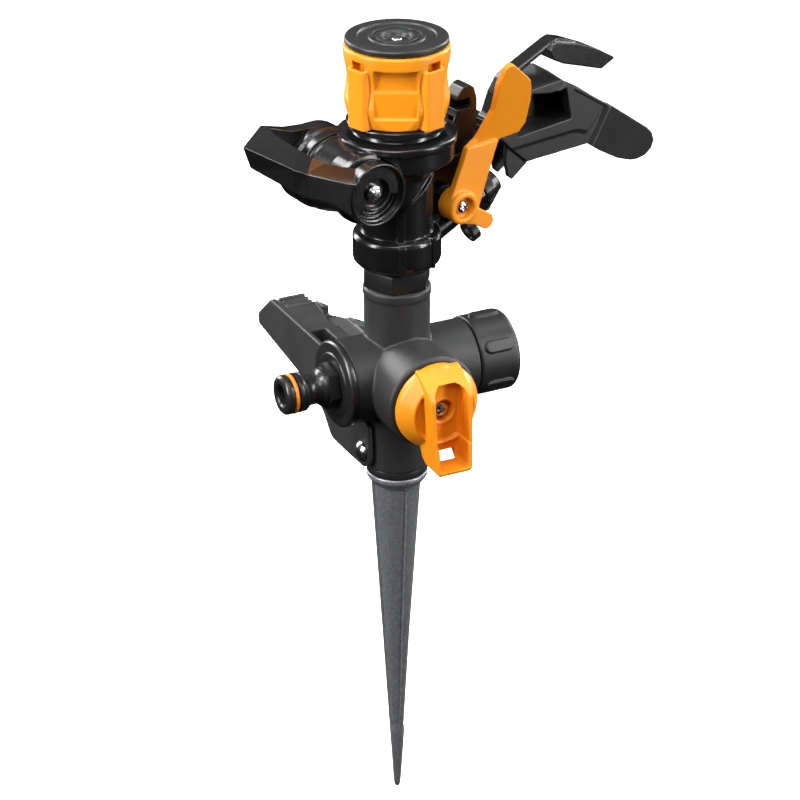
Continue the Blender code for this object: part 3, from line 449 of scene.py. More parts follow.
def counterweight_yoke():
    # U-shaped counterweight: near arm, slanted cross bar, far arm; rings run inner top,
    # outer top, outer bottom, inner bottom
    st = [((-17, 14.2, 139.4), (-17, 19.9, 134.6), (-17, 19.9, 124.6), (-17, 14.2, 124.6)),
          ((-27, 14.0, 141.8), (-27, 20.0, 136.9), (-27, 20.0, 123.8), (-27, 14.0, 123.8)),
          ((-36, 13.9, 144.6), (-36.5, 20.0, 139.9), (-36.5, 20.0, 127.4), (-36, 13.9, 127.4)),
          ((-42, 13.2, 147.2), (-45, 20.0, 143.6), (-44, 20.0, 133.3), (-42, 13.2, 133.3)),
          ((-45.6, 10.4, 149.2), (-54.4, 19.8, 147.7), (-54.8, 19.8, 138.2), (-45.6, 10.4, 136.0)),
          ((-47.2, 4.6, 150.6), (-57.2, 14.6, 148.4), (-56.2, 14.6, 139.0), (-47.0, 4.6, 138.0)),
          ((-47.4, -12.0, 151.8), (-59.7, -14.6, 148.4), (-56.0, -15.6, 139.0), (-47.2, -12.0, 138.4)),
          ((-45.4, -17.4, 152.0), (-47.2, -21.6, 152.2), (-46.6, -21.6, 137.0), (-45.2, -17.6, 137.0)),
          ((-36.0, -17.9, 148.5), (-36.0, -23.8, 148.6), (-36.0, -23.8, 125.6), (-36.0, -17.9, 125.6)),
          ((-26.0, -17.9, 147.6), (-26.0, -23.9, 147.6), (-26.0, -23.9, 118.0), (-26.0, -17.9, 118.0))]
    m = loft([[(f, -n, z) for f, n, z in ring] for ring in st], HM)
    hub_n = lathe([(0, 13.95), (11.6, 13.95), (12.2, 14.6), (12.2, 19.6), (11.6, 20.25), (0, 20.25)], S(12), MA)
    hub_f = lathe([(0, -24.3), (15.0, -24.3), (16.0, -23.6), (16.0, -17.75), (0, -17.75)], S(16), MA)
    return boolean(m, [('+', hub_n), ('+', hub_f), ('-', rod(11.0, 18.8, 30, S(10), MA)), ('-', rod(5.8, 16.4, 30, S(6), MA)),
                       ('-', rod(2.3, -40, 30, 10, MA))])

ARCH = [(38.8, 139.0), (43.0, 143.7), (45.8, 151.2), (49.2, 156.3), (52.0, 158.3), (61.8, 162.8), (71.5, 167.3), (74.5, 168.2),
        (79.5, 166.8), (91.8, 161.5), (103.4, 155.0)]
def front_arm():
    # from the far hub past the head, up and over to the arch in front
    disc = rod(14.0, -28.0, -24.8, S(14), MA)
    bar = prism(rounded([(-23, 122), (0, 121.0), (34, 122), (44.5, 132), (44.5, 142), (38, 142), (30, 133), (-23, 142)],
                        [2, 4, 8, 5, 3, 3, 6, 2], 2), -27.7, -25.1, PN)
    # cross piece that brings the arm back to the jet's plane
    cross = prism([(38.2, 132), (43.4, 132), (45.0, 142), (39.8, 142)], -27.2, 2.2, PN)
    strap = prism(ARCH + [(95, 155.0), (79, 162.4), (74.0, 165.0), (70.6, 164.6), (62.4, 160.8), (53.4, 156.2), (50.4, 151.0), (48.0, 144.0), (46.2, 137.6), (40.0, 137.6)], -4.0, 2.6, PN)
    tip = prism(rounded([(72.6, 167.4), (84.3, 164.4), (95.4, 159.6), (103.6, 154.8), (96.6, 151.4), (77.0, 157.6), (72.6, 159.8), (69.6, 164.2)],
                        [1, 0, 0, .6, .8, 2, 2, 1], 2), -4.3, 4.0, PN)
    return boolean(disc, [('+', bar), ('+', cross), ('+', strap), ('+', tip), ('-', rod(2.35, -40, 0, 10, MA))])

# frame of the kick paddle: origin at the upper end of the fold, x out along the paddle
MK_PAD = PN @ T(97.8, 137.6, 6.0) @ R(-29.8, 'Z') @ R(-28.0, 'Y')
PAD = [(-2.0, -0.6), (0.4, 0.3), (19.5, -2.2), (22.3, -3.2), (24.4, -5.7), (24.7, -9.1), (23.6, -12.6), (21.2, -15.3), (18.7, -16.8),
       (13.4, -18.1), (5.8, -18.2), (-0.2, -17.6), (-2.0, -15.0)]
PLATE = [(45.2, 133.6), (58.4, 121.8), (89.1, 122.4), (97.8, 137.6), (75.4, 152.0), (66.0, 151.6), (56.0, 150.6), (48.0, 145.0)]
PANEL = [(44.9, 134.2), (49.8, 129.4), (82.2, 130.2), (88.2, 128.1), (97.5, 137.4), (81.5, 148.6), (77.0, 151.0), (70.8, 146.6), (60.0, 148.0), (50.0, 143.0)]
WINDOW = [(53.1, 133.6), (79.3, 135.4), (76.8, 148.6), (70.0, 147.6), (60.6, 149.2), (54.0, 145.0)]
def deflector():
    # the scoop the jet strikes: flanged face plate with a window, the hood behind it,
    # a dipping vane and the folded kick paddle
    m = prism(PLATE, 4.0, 6.0, PN)
    panel = prism(PANEL, 5.0, 6.9, PN)
    near = [(51.5, 131.6), (52.0, 144.0), (58.5, 150.2), (66.0, 150.2), (75.0, 151.4), (85.0, 145.0), (91.5, 132.0), (80.0, 128.4)]
    far = [(58.0, 131.0), (58.5, 150.0), (64.0, 156.6), (72.3, 155.4), (80.0, 150.6), (86.6, 145.4), (95.0, 133.0), (84.0, 128.0)]
    hood = loft([[(f, -n, z) for f, z in ring] for ring, n in ((near, 4.6), (far, -9.0))], HM)
    vane = prism([(49.9, 137), (64, 134), (61.5, 124.0), (59.3, 120.6), (54.8, 117.3), (52.3, 115.4), (50.4, 117), (48.9, 123)], -6.0, 4.6, PN)
    win = prism(WINDOW, 1.0, 20, PN)
    inner = prism([(40, 134.2), (80, 134.2), (88, 135.6), (83.5, 143.4), (72.5, 147.6), (40, 149.0)], -7.2, 2.6, PN)
    low = prism([(40, 100), (57.2, 112), (59.4, 128), (57.0, 137.0), (40, 137.0)], -4.2, 2.6, PN)
    return boolean(m, [('+', hood), ('+', vane), ('+', panel), ('-', win), ('-', inner), ('-', low), ('+', prism(PAD, -2.0, 0.0, MK_PAD))])

# frame of the lever's upper blade, tipped back about the crease
MK_BL = PN @ T(22.6, 141.0, 14.6) @ R(8.0, 'Z') @ R(14.0, 'X')
BLADE = [(1.6, -8.0), (0.2, -4.0), (4.9, -1.2), (8.4, 3.9), (11.9, 9.1), (12.9, 14.2), (13.9, 20.3), (16.8, 26.5), (18.7, 27.6), (21.1, 26.6), (29.2, 16.9),
         (29.9, 13.8), (30.0, 7.2), (28.3, -2.6), (25.2, -6.0), (15.8, -5.4), (13.4, -8.6)]
def diffuser_lever():
    hub = lathe([(1.5, 8.0), (6.5, 8.0), (6.5, 16.4), (5.9, 17.0), (4.2, 17.0), (4.2, 14.4), (1.5, 14.4)], S(7), MD)
    lever = prism(rounded([(14.4, 118.0), (17.0, 124.5), (20.3, 132.2), (22.6, 137.7), (26.0, 140.6), (36.0, 140.6), (37.4, 138.0), (35.2, 132.8), (30.6, 119.5),
                           (28.0, 112.0), (20.0, 110.0)], [1, 6, 4, 1, 1, 1, 1, 4, 4, 1, 1], 2), 11.8, 14.6, PN)
    blade = prism(BLADE, -2.6, 0.0, MK_BL)
    tail = prism(rounded([(21, 108.0), (25.5, 106.8), (31.5, 102.9), (35.0, 105.2), (34.4, 108.8), (26, 114.0)], [0, 1, 2.5, 2.5, 2, 0], 3), 11.8, 15.6, PN)
    bore = rod(1.5, 0, 30, 10, MD)
    pocket = rod(4.2, 14.4, 30, S(5), MD)
    return boolean(hub, [('+', lever), ('+', blade), ('+', tail), ('-', bore), ('-', pocket)])

def diffuser_screw():
    return lathe([(0, 4.0), (1.1, 4.0), (1.1, 14.7), (2.7, 14.7), (2.7, 15.6), (1.9, 16.0), (0, 16.0)], S(3), MD)

def trip_lever():
    m = prism(rounded([(25.0, 133.0), (33.0, 133.0), (34.9, 139.0), (34.9, 153.0), (33.6, 157.4), (31.4, 159.0), (28.6, 158.2), (25.6, 155.0),
                       (25.6, 148.0), (24.4, 145.0), (24.4, 137.0)], [1, 1, 2, 3, 1, 1, 1, 1, 1, 1, 2], 2), -3.9, 3.9, PN)
    c = prism([(20, 149.6), (31.6, 149.6), (31.6, 153.4), (20, 153.4)], -2.4, 6.0, PN)
    c2 = prism([(20, 138), (31.5, 138), (31.5, 146.5), (20, 146.5)], -2.4, 2.4, PN)
    return boolean(m, [('-', c), ('-', c2), ('-', rod(1.3, 20, 40, 8, HM @ T(0, 0, 135.2) @ PXF))])

def trip_pin():
    return lathe([(0, 21.5), (1.05, 21.5), (1.05, 34.4), (2.0, 34.4), (2.0, 35.2), (0, 35.2)], 8, HM @ T(0, 0, 135.2) @ PXF)

# ---------------------------------------------------------------- top knob
def knob_seat():
    return lathe([(3.3, 151.1), (16.8, 151.1), (16.8, 149.2), (18.9, 149.2), (19.3, 149.6), (19.3, 151.6), (18.9, 152.0), (12.0, 152.0), (12.0, 176.0), (3.3, 176.0)], S(20), HM)

def knob_seal():
    return ring_torus(9.15 - 0.0, 11.3, 0, S(10), HM @ T(0, 0, 149.0), 6)

def range_knob():
    z0, z1 = KNOB_Z0, KNOB_Z1
    prof = [(12.3, z0), (18.8, z0), (19.5, z0 + 4.0), (19.8, z0 + 9.0), (19.1, z0 + 14), (18.8, z0 + 18), (19.4, z0 + 22.5),
            (KNOB_R, z1 - 4.0), (KNOB_R, z1 - 0.8), (KNOB_R - 0.8, z1), (12.3, z1)]
    m = lathe(prof, S(21), HM)
    ops = []
    for i in (0, 2):
        ops.append(('-', block(17.2, 23.0, -8.2, 8.2, 158.2, 176.4, HM @ R(53.0 + 90 * i, 'Z'))))
    for i in range(4):
        ops.append(('+', block(15.4, 21.4, -4.6, 4.6, z0 - 0.02, 175.4, HM @ R(8.0 + 90 * i, 'Z'))))
    for i in range(4):
        ops.append(('-', block(17.4, 20.3, -3.2, 3.2, z0 + 3.0, 177.6, HM @ R(8.0 + 90 * i, 'Z'))))
    return boolean(m, ops)

def knob_disc():
    return lathe([(2.4, 181.5), (19.1, 181.5), (19.6, 182.0), (19.6, 183.4), (19.0, DISC_Z1), (14.6, DISC_Z1), (14.4, 183.6),
                  (13.6, 183.6), (13.4, DISC_Z1), (6.0, DISC_Z1), (5.6, 183.2), (2.4, 183.2)], S(20), HM)

def centre_pin():
    return lathe([(0, 144.0), (7.8, 144.0), (7.8, 146.0), (3.0, 146.0), (3.0, 176.5), (2.0, 177.0), (2.0, 182.6), (1.6, 183.0), (0, 183.0)], S(4), HM)

# ---------------------------------------------------------------- fine versions of the pieces
def sstep(a, b, x):
    t = max(0.0, min(1.0, (x - a) / (b - a)))
    return t * t * (3 - 2 * t)

def ground_spike_hi():
    n = 144
    zs = [-149.9, -149.6, -149.0, -148.0] + [-146.0 + i * 1.6 for i in range(0, 88)] + [-5.0, -4.0, -3.4, -2.9, -2.4, -2.0]
    rings = []
    for z in zs:
        r0 = 1.40 + (z + 148.5) * 0.0617
        if z < -147.5:
            r0 = 1.40 * math.sqrt(max(0.05, 1 - ((-147.5 - z) / 2.6) ** 2))
        ring = []
        for i in range(n):
            a = 2 * math.pi * i / n
            d = 99.0
            best = -9.0
            for k in range(3):
                c = math.radians(-141.8 + 120 * k)
                dd = abs((a - c + math.pi) % (2 * math.pi) - math.pi)
                best = max(best, (math.radians(49.4) - dd) * r0)
            top, bot = -2.2 - z, z + 121.0
            dist = min(best, top, bot * 0.35)
            # rounded upper corners of the panel
            if best < 2.0 and top < 2.0 and best > -1 and top > -1:
                q = 2.0 - math.hypot(2.0 - best, 2.0 - top)
                dist = min(dist, q)
            s = sstep(-0.05, 0.5, dist)
            r = r0 - min(0.95, 0.16 * r0) * s
            ring.append((r * math.cos(a), r * math.sin(a), z))
        rings.append(ring)
    for r, z in [(10.6, -1.6), (11.0, -1.0), (11.5, -0.5), (11.9, 0.0), (12.15, 0.5), (12.2, 1.1), (12.2, 2.0), (12.05, 2.4), (11.7, 2.6),
                 (8.0, 2.6), (8.0, 24.0)]:
        rings.append([(r * math.cos(2 * math.pi * i / n), r * math.sin(2 * math.pi * i / n), z) for i in range(n)])
    m = loft(rings)
    return boolean(m, [('-', rod(2.6, -12, 12, 24, T(0, 0, RIVET_Z) @ PX))])

def inlet_nipple_hi():
    prof = [(4.1, -49.4), (4.5, -50.1), (5.0, -50.3), (6.4, -50.3), (7.2, -50.05), (7.75, -49.5), (7.9, -48.8), (7.9, -47.4), (6.3, -47.4), (6.3, -44.6),
            (7.9, -44.6), (7.9, -43.3), (7.55, -43.1), (7.55, -42.3), (7.75, -42.1), (7.75, -41.4), (7.3, -40.7), (6.5, -40.0), (6.1, -39.0), (6.0, -37.5), (6.1, -36.0),
            (6.6, -34.9), (7.4, -34.2), (7.8, -33.4), (7.8, -28.4), (7.2, -28.4), (7.2, -12.0), (4.1, -12.0)]
    m = lathe(prof, 96, MX)
    hexa = prism(circle(9.2, 6, phase=math.radians(12)), -32.6, -28.4, MX)
    bore = rod(4.1, -60, 0, 64, MX)
    return boolean(m, [('+', hexa), ('-', bore), ('-', tube(12, 7.2, -28.35, -20, 64, MX))])

def dome(r, h, x0, flip, n=8):
    pts = []
    R_ = (r * r + h * h) / (2 * h)
    for i in range(n + 1):
        a = math.asin(min(1.0, r / R_)) * (1 - i / n)
        pts.append((R_ * math.sin(a), (x0 + (R_ * math.cos(a) - (R_ - h)) * flip)))
    return pts

def step_rivet_hi():
    x = 15.6
    right = dome(4.25, 1.9, x + 0.35, 1)
    left = dome(4.25, 1.9, -x - 0.35, -1)[::-1]
    prof = left + [(4.3, -x), (2.2, -x), (2.2, x), (4.3, x)] + right
    prof[0] = (0, prof[0][1])
    prof[-1] = (0, prof[-1][1])
    return lathe(prof, 64, T(0, 0, RIVET_Z) @ PX)

def foot_step_hi():
    m = foot_step()
    # faceted boss beside the near wall, its ridges, and the slanted inside of the far wall
    ops = [('-', prism([(57.0, 60), (57.0, 38.4), (66.0, 39.2), (78.0, 42.6), (78.0, 60)], -12.6, 1.4, PX)),
           ('-', prism([(78.0, 42.6), (91, 41.4), (98, 34.8), (110, 40), (90, 60), (78.0, 60)], -12.6, 1.4, PX)),
           ('-', prism([(1.4, 38.4), (8.0, 41.0), (8.0, 46.0), (1.4, 46.0)], -72.0, -30.0, PY))]
    for y in (80.4, 84.0, 87.6):
        ops.append(('+', prism([(y - 0.9, 38), (y + 0.9, 38), (y + 0.9, 43.4), (y - 0.9, 43.4)], -11.4, 0.4, PX)))
    for op in ops:
        m = boolean(m, [op])
    return m

def valve_knob_hi():
    body = lathe([(0, 32.0), (16.4, 32.0), (17.2, 32.8), (17.2, 35.0), (16.8, 35.9), (13.3, 41.0), (12.7, 41.3), (12.1, 40.8), (12.0, 39.5),
                  (6.0, 39.5), (5.6, 39.8), (4.9, 39.8), (4.3, 39.3), (4.2, 33.8), (0, 33.8)], 128, MV)
    side = Matrix(((0, 0, 1, 0), (-1, 0, 0, 0), (0, 1, 0, 0), (0, 0, 0, 1)))     # (front, z, x)
    MS = T(0, 0, LINE_Z) @ side
    prof = rounded([(33.5, 16.6), (36.2, 16.2), (44.4, 11.6), (47.0, 8.2), (50.4, -22.8), (40.0, -22.0), (36.6, -18.8), (34.0, -13.0), (33.5, -8.0)],
                   [0.5, 1, 2, 2.5, 1.2, 1, 2.0, 1, 1], 3)
    slab = prism(prof, -9.4, 9.4, MS)
    outer = prism(rounded([(-9.2, 24.0), (-8.9, 6.0), (-7.4, -22.8), (7.4, -22.8), (8.9, 6.0), (9.2, 24.0)], [0, 8, 2.4, 2.4, 8, 0], 4), 30.0, 55.0, MV)
    keep = evaluated_inter(slab, outer)
    inner = prism(rounded([(-7.0, 12.6), (-5.9, -20.9), (5.9, -20.9), (7.0, 12.6)], [4.5, 1.4, 1.4, 4.5], 6), 39.5, 60.0, MV)
    inner2 = prism([(-6.9, -12.6), (-4.6, -18.9), (4.6, -18.9), (6.9, -12.6)], 30.0, 41.0, MV)
    floor_cut = prism([(-5.0, -25.0), (5.0, -25.0), (5.0, -17.0), (-5.0, -17.0)], 30.0, 40.2, MV)
    keep = boolean(keep, [('-', inner), ('-', floor_cut)])
    ring = rod(12.0, 39.5, 42, 96, MV)
    m = boolean(body, [('+', keep), ('-', block(-6.9, 6.9, -11.0, 9.0, 41.25, 60, MV)),
                       ('-', rod(1.9, 30, 45, 24, MV)), ('-', rod(5.3, 30, 33.2, 48, MV)), ('-', rod(4.3, 35.0, 45, 48, MV))])
    return m

def evaluated_inter(a, b):
    oa = bpy.data.objects.new('a', a)
    ob = bpy.data.objects.new('b', b)
    for o in (oa, ob):
        bpy.context.scene.collection.objects.link(o)
    m = oa.modifiers.new('i', 'BOOLEAN')
    m.operation = 'INTERSECT'
    m.solver = 'EXACT'
    m.object = ob
    dg = bpy.context.evaluated_depsgraph_get()
    dg.update()
    out = bpy.data.meshes.new_from_object(oa.evaluated_get(dg))
    bpy.data.objects.remove(oa)
    bpy.data.objects.remove(ob)
    return clean(out)

def screw_hi(M, r=3.0, shank=1.1, length=12.0):
    # local z = 0 is the top of the head
    head = lathe([(0, -length), (shank, -length), (shank, -1.9), (r, -1.9), (r, -1.2), (r * 0.88, -0.55), (r * 0.6, -0.15), (0, 0)], 48, M)
    w = r * 0.16
    ops = [('-', block(-r * 0.62, r * 0.62, -w, w, -1.3, 1, M)), ('-', block(-w, w, -r * 0.62, r * 0.62, -1.3, 1, M)),
           ('-', lathe([(0, -1.7), (r * 0.28, -0.4), (r * 0.28, 1), (0, 1)], 16, M))]
    return boolean(head, ops)

def outlet_cap_hi():
    x0, x1, r = CAP_X0, CAP_X1, CAP_R
    m = lathe([(0, x1), (r - 1.6, x1), (r - 0.7, x1 - 0.25), (r - 0.15, x1 - 0.9), (r, x1 - 1.8), (r, x0 + 0.5), (r - 0.4, x0), (12.6, x0),
               (12.6, x1 - 2.6), (0, x1 - 2.6)], 128, MX)
    ops = []
    for i in range(6):
        a = RIB0 + 60 * i
        pill = rounded([(-2.3, 0), (2.3, 0), (2.3, 12.4), (-2.3, 12.4)], 2.25, 6)
        # pill outline lies along the cap, raised out of its wall
        MB = MX @ R(a, 'Z') @ T(0, 0, x0 + 2.2) @ Matrix(((0, 0, 1, 0), (1, 0, 0, 0), (0, 1, 0, 0), (0, 0, 0, 1)))
        ops.append(('+', prism(pill, r - 1.5, r + 1.05, MB)))
    return moulded(boolean(m, ops), 0.26, 5)

RIB0 = 28.0

def axle_hi():
    x0, x1 = -26.6, 19.6
    return lathe([(0, x0), (1.5, x0), (2.0, x0 + .5), (2.0, x1 - 3.4), (3.1, x1 - 3.4), (3.1, x1 - 1.6), (2.9, x1 - 1.3), (2.1, x1 - 1.3), (2.1, x1 - 0.4), (1.7, x1), (0, x1)], 48, MA)

def spring_hi():
    r, w, turns, k = 7.2, 0.75, 5, 40
    rings = []
    z0, z1 = -11.5, 7.5
    for i in range(turns * k + 1):
        a = 2 * math.pi * i / k
        z = z0 + (z1 - z0) * i / (turns * k)
        c = Vector((r * math.cos(a), r * math.sin(a), z))
        e1, e2 = Vector((math.cos(a), math.sin(a), 0)), Vector((0, 0, 1))
        rings.append([tuple(c + e1 * w * math.cos(t) + e2 * w * math.sin(t)) for t in [2 * math.pi * j / 12 for j in range(12)]])
    return loft(rings, MA)

def bead(pts, r, n=8):
    """A thin round rib along a run of points (mm, world)."""
    P = [Vector(p) for p in pts]
    rings = []
    for i, p in enumerate(P):
        t = (P[min(i + 1, len(P) - 1)] - P[max(i - 1, 0)]).normalized()
        u = t.cross(Vector((0, 0, 1)))
        if u.length < 0.05:
            u = t.cross(Vector((1, 0, 0)))
        u.normalize()
        v = t.cross(u)
        rings.append([tuple(p + u * (r * math.cos(2 * math.pi * k / n)) + v * (r * math.sin(2 * math.pi * k / n))) for k in range(n)])
    return loft(rings)

def on_column(r, az, z):
    """A point on the head's column: az in degrees from the camera side towards the nozzle."""
    a = math.radians(-116.4 + az)
    return (r * math.cos(a), r * math.sin(a), z)

def beads_joined(meshes):
    bm = bmesh.new()
    for me in meshes:
        bm.from_mesh(me)
    out = bpy.data.meshes.new('beads')
    bm.to_mesh(out)
    bm.free()
    return out

def volume(me):
    bm = bmesh.new()
    bm.from_mesh(me)
    v = bm.calc_volume()
    bm.free()
    return v

def careful(m, ops):
    """One boolean at a time; a step that loses the body is left out."""
    for kind, me in ops:
        v0 = volume(m)
        out = boolean(m.copy(), [(kind, me.copy())])
        v1 = volume(out)
        if (kind == '+' and v1 < v0 * 0.995) or v1 < v0 * 0.6 or v1 > v0 * 1.4:
            print('step left out', kind, round(v0), round(v1), len(me.polygons))
            continue
        m = out
    return m

def head_body_hi():
    m = head_body()
    collar = []
    # stepped lower edge of the collar and the ledge under the cup
    ring = lathe([(15.0, 92.6), (SKIRT_R - 0.2, 94.9), (SKIRT_R + 0.25, 95.6), (SKIRT_R + 0.25, 104.4), (SKIRT_R - 0.5, 105.4), (15.0, 105.4)], 160, HM)
    lip = lathe([(17.0, CUP_Z1 - 3.4), (CUP_R + 0.9, CUP_Z1 - 3.0), (CUP_R + 1.1, CUP_Z1 - 2.4), (CUP_R + 1.1, CUP_Z1 - 0.7), (CUP_R + 0.6, CUP_Z1 - 0.1), (17.0, CUP_Z1 - 0.1)], 160, HM)
    ops = [('+', ring), ('+', lip)]
    # raised parting rib down the column and over the collar
    for az, w in ((4.5, 1.1), (9.5, 0.5)):
        MR = R(-116.4 + az, 'Z')
        ops.append(('+', block(12.0, 15.1, -w, w, 104.6, 118.0, MR)))
    MR = R(-116.4 + 7.0, 'Z')
    ops.append(('+', block(14.0, SKIRT_R + 1.25, -1.1, 1.1, 94.2, 105.2, MR)))
    MR = R(-116.4 + 53.0, 'Z')
    ops.append(('+', block(14.0, SKIRT_R + 1.15, -0.8, 0.8, 94.2, 106.8, MR)))
    # slanted strap from the rib up to the nozzle arm
    strap = []
    for k in range(9):
        t = k / 8
        az, z = 5.0 + 62.0 * t, 117.6 + 13.4 * t
        a = math.radians(-116.4 + az)
        c, sn = math.cos(a), math.sin(a)
        strap.append([(13.0 * c, 13.0 * sn, z - 1.0), (15.3 * c, 15.3 * sn, z - 0.9), (15.3 * c, 15.3 * sn, z + 0.7), (13.0 * c, 13.0 * sn, z + 1.1)])
    ops.append(('+', loft(strap)))
    # web of the nozzle arm next to the column
    ops.append(('+', prism([(10, 112), (26, 112), (36, 124), (36.8, 131), (27, 131.3), (10, 134)], -3.9, 3.9, PN)))
    # rings of the axle barrel
    ops.append(('+', lathe([(13.6, -17.4), (16.2, -17.4), (16.2, -14.1), (15.9, -13.8), (13.6, -13.8)], 128, MA)))
    ops.append(('+', lathe([(10.6, 9.6), (13.3, 9.6), (13.6, 10.0), (13.6, 13.2), (13.4, 13.5), (10.6, 13.5)], 128, MA)))
    return careful(m, ops)

def counterweight_hi():
    m = counterweight_yoke()
    ops = [('-', tube(10.1, 7.0, 17.2, 30, 96, MA))]
    # keep the groove to the lower right quarter: fill the rest of the ring back in
    keep = lathe([(6.9, 16.6), (10.6, 16.6), (10.6, 18.8), (6.9, 18.8)], 96, MA)
    gap = [(0.0, 0.0)] + [(40 * math.cos(math.radians(t)), 40 * math.sin(math.radians(t))) for t in range(-140, -4, 8)]
    keep = boolean(keep, [('-', prism(gap, 10, 30, MA))])
    ops.append(('+', keep))
    ops.append(('+', tube(8.85, 8.25, 16.6, 18.7, 96, MA)))
    ops.append(('+', tube(12.25, 11.2, 19.0, 20.55, 96, MA)))
    return careful(m, ops)

def deflector_hi():
    m = deflector()
    # raised band beside the fold and the rim along the top edges
    ops = [('+', prism([(0.2, -0.2), (2.2, -0.6), (2.2, -17.6), (0.2, -17.4)], -0.5, 0.22, MK_PAD)),
           ('+', prism([(81.0, 148.2), (97.6, 137.6), (97.1, 136.7), (80.6, 147.2)], 6.0, 7.2, PN)),
           ('+', prism([(49.8, 129.4), (82.2, 130.2), (88.2, 128.1), (88.0, 127.2), (82.0, 129.3), (50.7, 128.5)], 5.6, 6.35, PN))]
    return boolean(m, ops)

def diffuser_hi():
    hub = lathe([(1.5, 8.0), (6.5, 8.0), (6.5, 16.4), (6.1, 16.9), (5.6, 17.0), (4.6, 17.0), (4.2, 16.6), (4.2, 14.4), (1.5, 14.4)], 96, MD)
    lever = prism(rounded([(14.4, 118.0), (17.0, 124.5), (20.3, 132.2), (22.6, 138.4), (37.4, 138.6), (35.2, 132.8), (30.6, 119.5),
                           (28.0, 112.0), (20.0, 110.0)], [1, 6, 4, .5, .5, 4, 4, 1, 1], 6), 11.8, 14.75, PN)
    blade = prism(rounded(BLADE, 0.8, 3), -2.6, 0.0, MK_BL)
    tail = prism(rounded([(21, 108.0), (25.5, 106.8), (31.5, 102.9), (35.0, 105.2), (34.4, 108.8), (26, 114.0)], [0, 1, 2.5, 2.5, 2, 0], 6), 11.8, 15.6, PN)
    return boolean(hub, [('+', lever), ('+', blade), ('+', tail), ('-', rod(1.5, 0, 30, 32, MD)), ('-', rod(4.2, 14.4, 30, 64, MD))])

KNOB_A = 8.0
def range_knob_hi():
    z0, z1 = KNOB_Z0, KNOB_Z1
    prof = [(12.3, z0), (17.8, z0), (18.4, z0 + 0.5), (19.2, z0 + 3.6), (19.9, z0 + 6.4), (20.0, z0 + 8.4), (19.5, z0 + 11.5), (19.0, z0 + 14.5), (18.9, z0 + 17.0),
            (19.2, z0 + 20.0), (19.7, z0 + 22.4), (20.1, z0 + 24.4), (KNOB_R, z1 - 2.2), (KNOB_R, z1 - 0.8), (KNOB_R - 0.3, z1 - 0.2), (KNOB_R - 0.9, z1), (12.3, z1)]
    m = lathe(prof, 128, HM)
    ops = []
    for i in (0, 2):
        MK = HM @ R(KNOB_A + 45 + 90 * i, 'Z')
        # stepped recess between the grips, front and back
        ops.append(('-', block(15.9, 23.0, -8.3, 8.3, 167.4, 175.9, MK)))
        ops.append(('-', block(17.1, 23.0, -8.3, 8.3, 157.0, 167.5, MK)))
        ops.append(('-', block(17.9, 23.0, -8.3, 8.3, 150.0, 157.1, MK)))
    for i in range(4):
        MK = HM @ R(KNOB_A + 90 * i, 'Z')
        ops.append(('+', prism(rounded([(14.6, -4.7), (20.5, -4.7), (21.4, -3.8), (21.4, 3.8), (20.5, 4.7), (14.6, 4.7)], [0, .8, .8, .8, .8, 0], 3), z0 - 0.05, 175.4, MK)))
    for i in range(4):
        MK = HM @ R(KNOB_A + 90 * i, 'Z')
        ops.append(('-', block(16.6, 20.2, -3.2, 3.2, z0 + 3.0, 178.0, MK)))
    for op in ops:
        m = boolean(m, [op])
    return m

def knob_disc_hi():
    return lathe([(2.4, 181.5), (19.1, 181.5), (19.6, 182.0), (19.6, 183.3), (19.3, 183.8), (18.8, DISC_Z1), (15.1, DISC_Z1), (14.8, 183.4), (14.5, 183.2), (10.9, 183.3), (10.6, 183.8), (10.0, 184.0),
                  (9.5, 183.8), (9.3, 182.5), (8.4, 182.5), (8.2, 183.7), (7.5, 184.0), (6.6, 183.8), (5.6, 183.0), (5.2, 182.0), (5.0, 181.7), (2.4, 181.7)], 128, HM)

# ---------------------------------------------------------------- mesh finishing
def evaluated(me, mods):
    """Run a list of (type, settings) modifiers over a mesh and return the result."""
    ob = bpy.data.objects.new('work', me)
    bpy.context.scene.collection.objects.link(ob)
    for kind, opts in mods:
        m = ob.modifiers.new(kind.lower(), kind)
        for k, v in opts.items():
            setattr(m, k, v)
    dg = bpy.context.evaluated_depsgraph_get()
    dg.update()
    out = bpy.data.meshes.new_from_object(ob.evaluated_get(dg))
    bpy.data.objects.remove(ob)
    return out

def moulded(me, voxel=0.4, it=8, fac=0.5):
    """Round every edge the way a moulded part is: remesh fine, then relax."""
    return evaluated(me, [('REMESH', dict(mode='VOXEL', voxel_size=voxel, adaptivity=0.0, use_smooth_shade=True)),
                          ('SMOOTH', dict(factor=fac, iterations=it))])

def edged(me, w=0.3, seg=3, deg=28):
    """Bevel the sharp edges of a clean turned or extruded part."""
    return evaluated(me, [('BEVEL', dict(width=w, segments=seg, limit_method='ANGLE', angle_limit=math.radians(deg),
                                         use_clamp_overlap=True, harden_normals=False, miter_outer='MITER_ARC'))])

def show(name, me, mat, body, nodes, angle=50):
    me.transform(Matrix.Scale(0.001, 4))
    me.name = name
    me.materials.clear()
    me.materials.append(mat)
    me.polygons.foreach_set('use_smooth', [True] * len(me.polygons))
    me.update()
    if angle:
        me.set_sharp_from_angle(angle=math.radians(angle))
    ob = bpy.data.objects.new(name, me)
    bpy.context.scene.collection.objects.link(ob)
    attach(ob, body)
    if nodes:
        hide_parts(*nodes)
    return ob

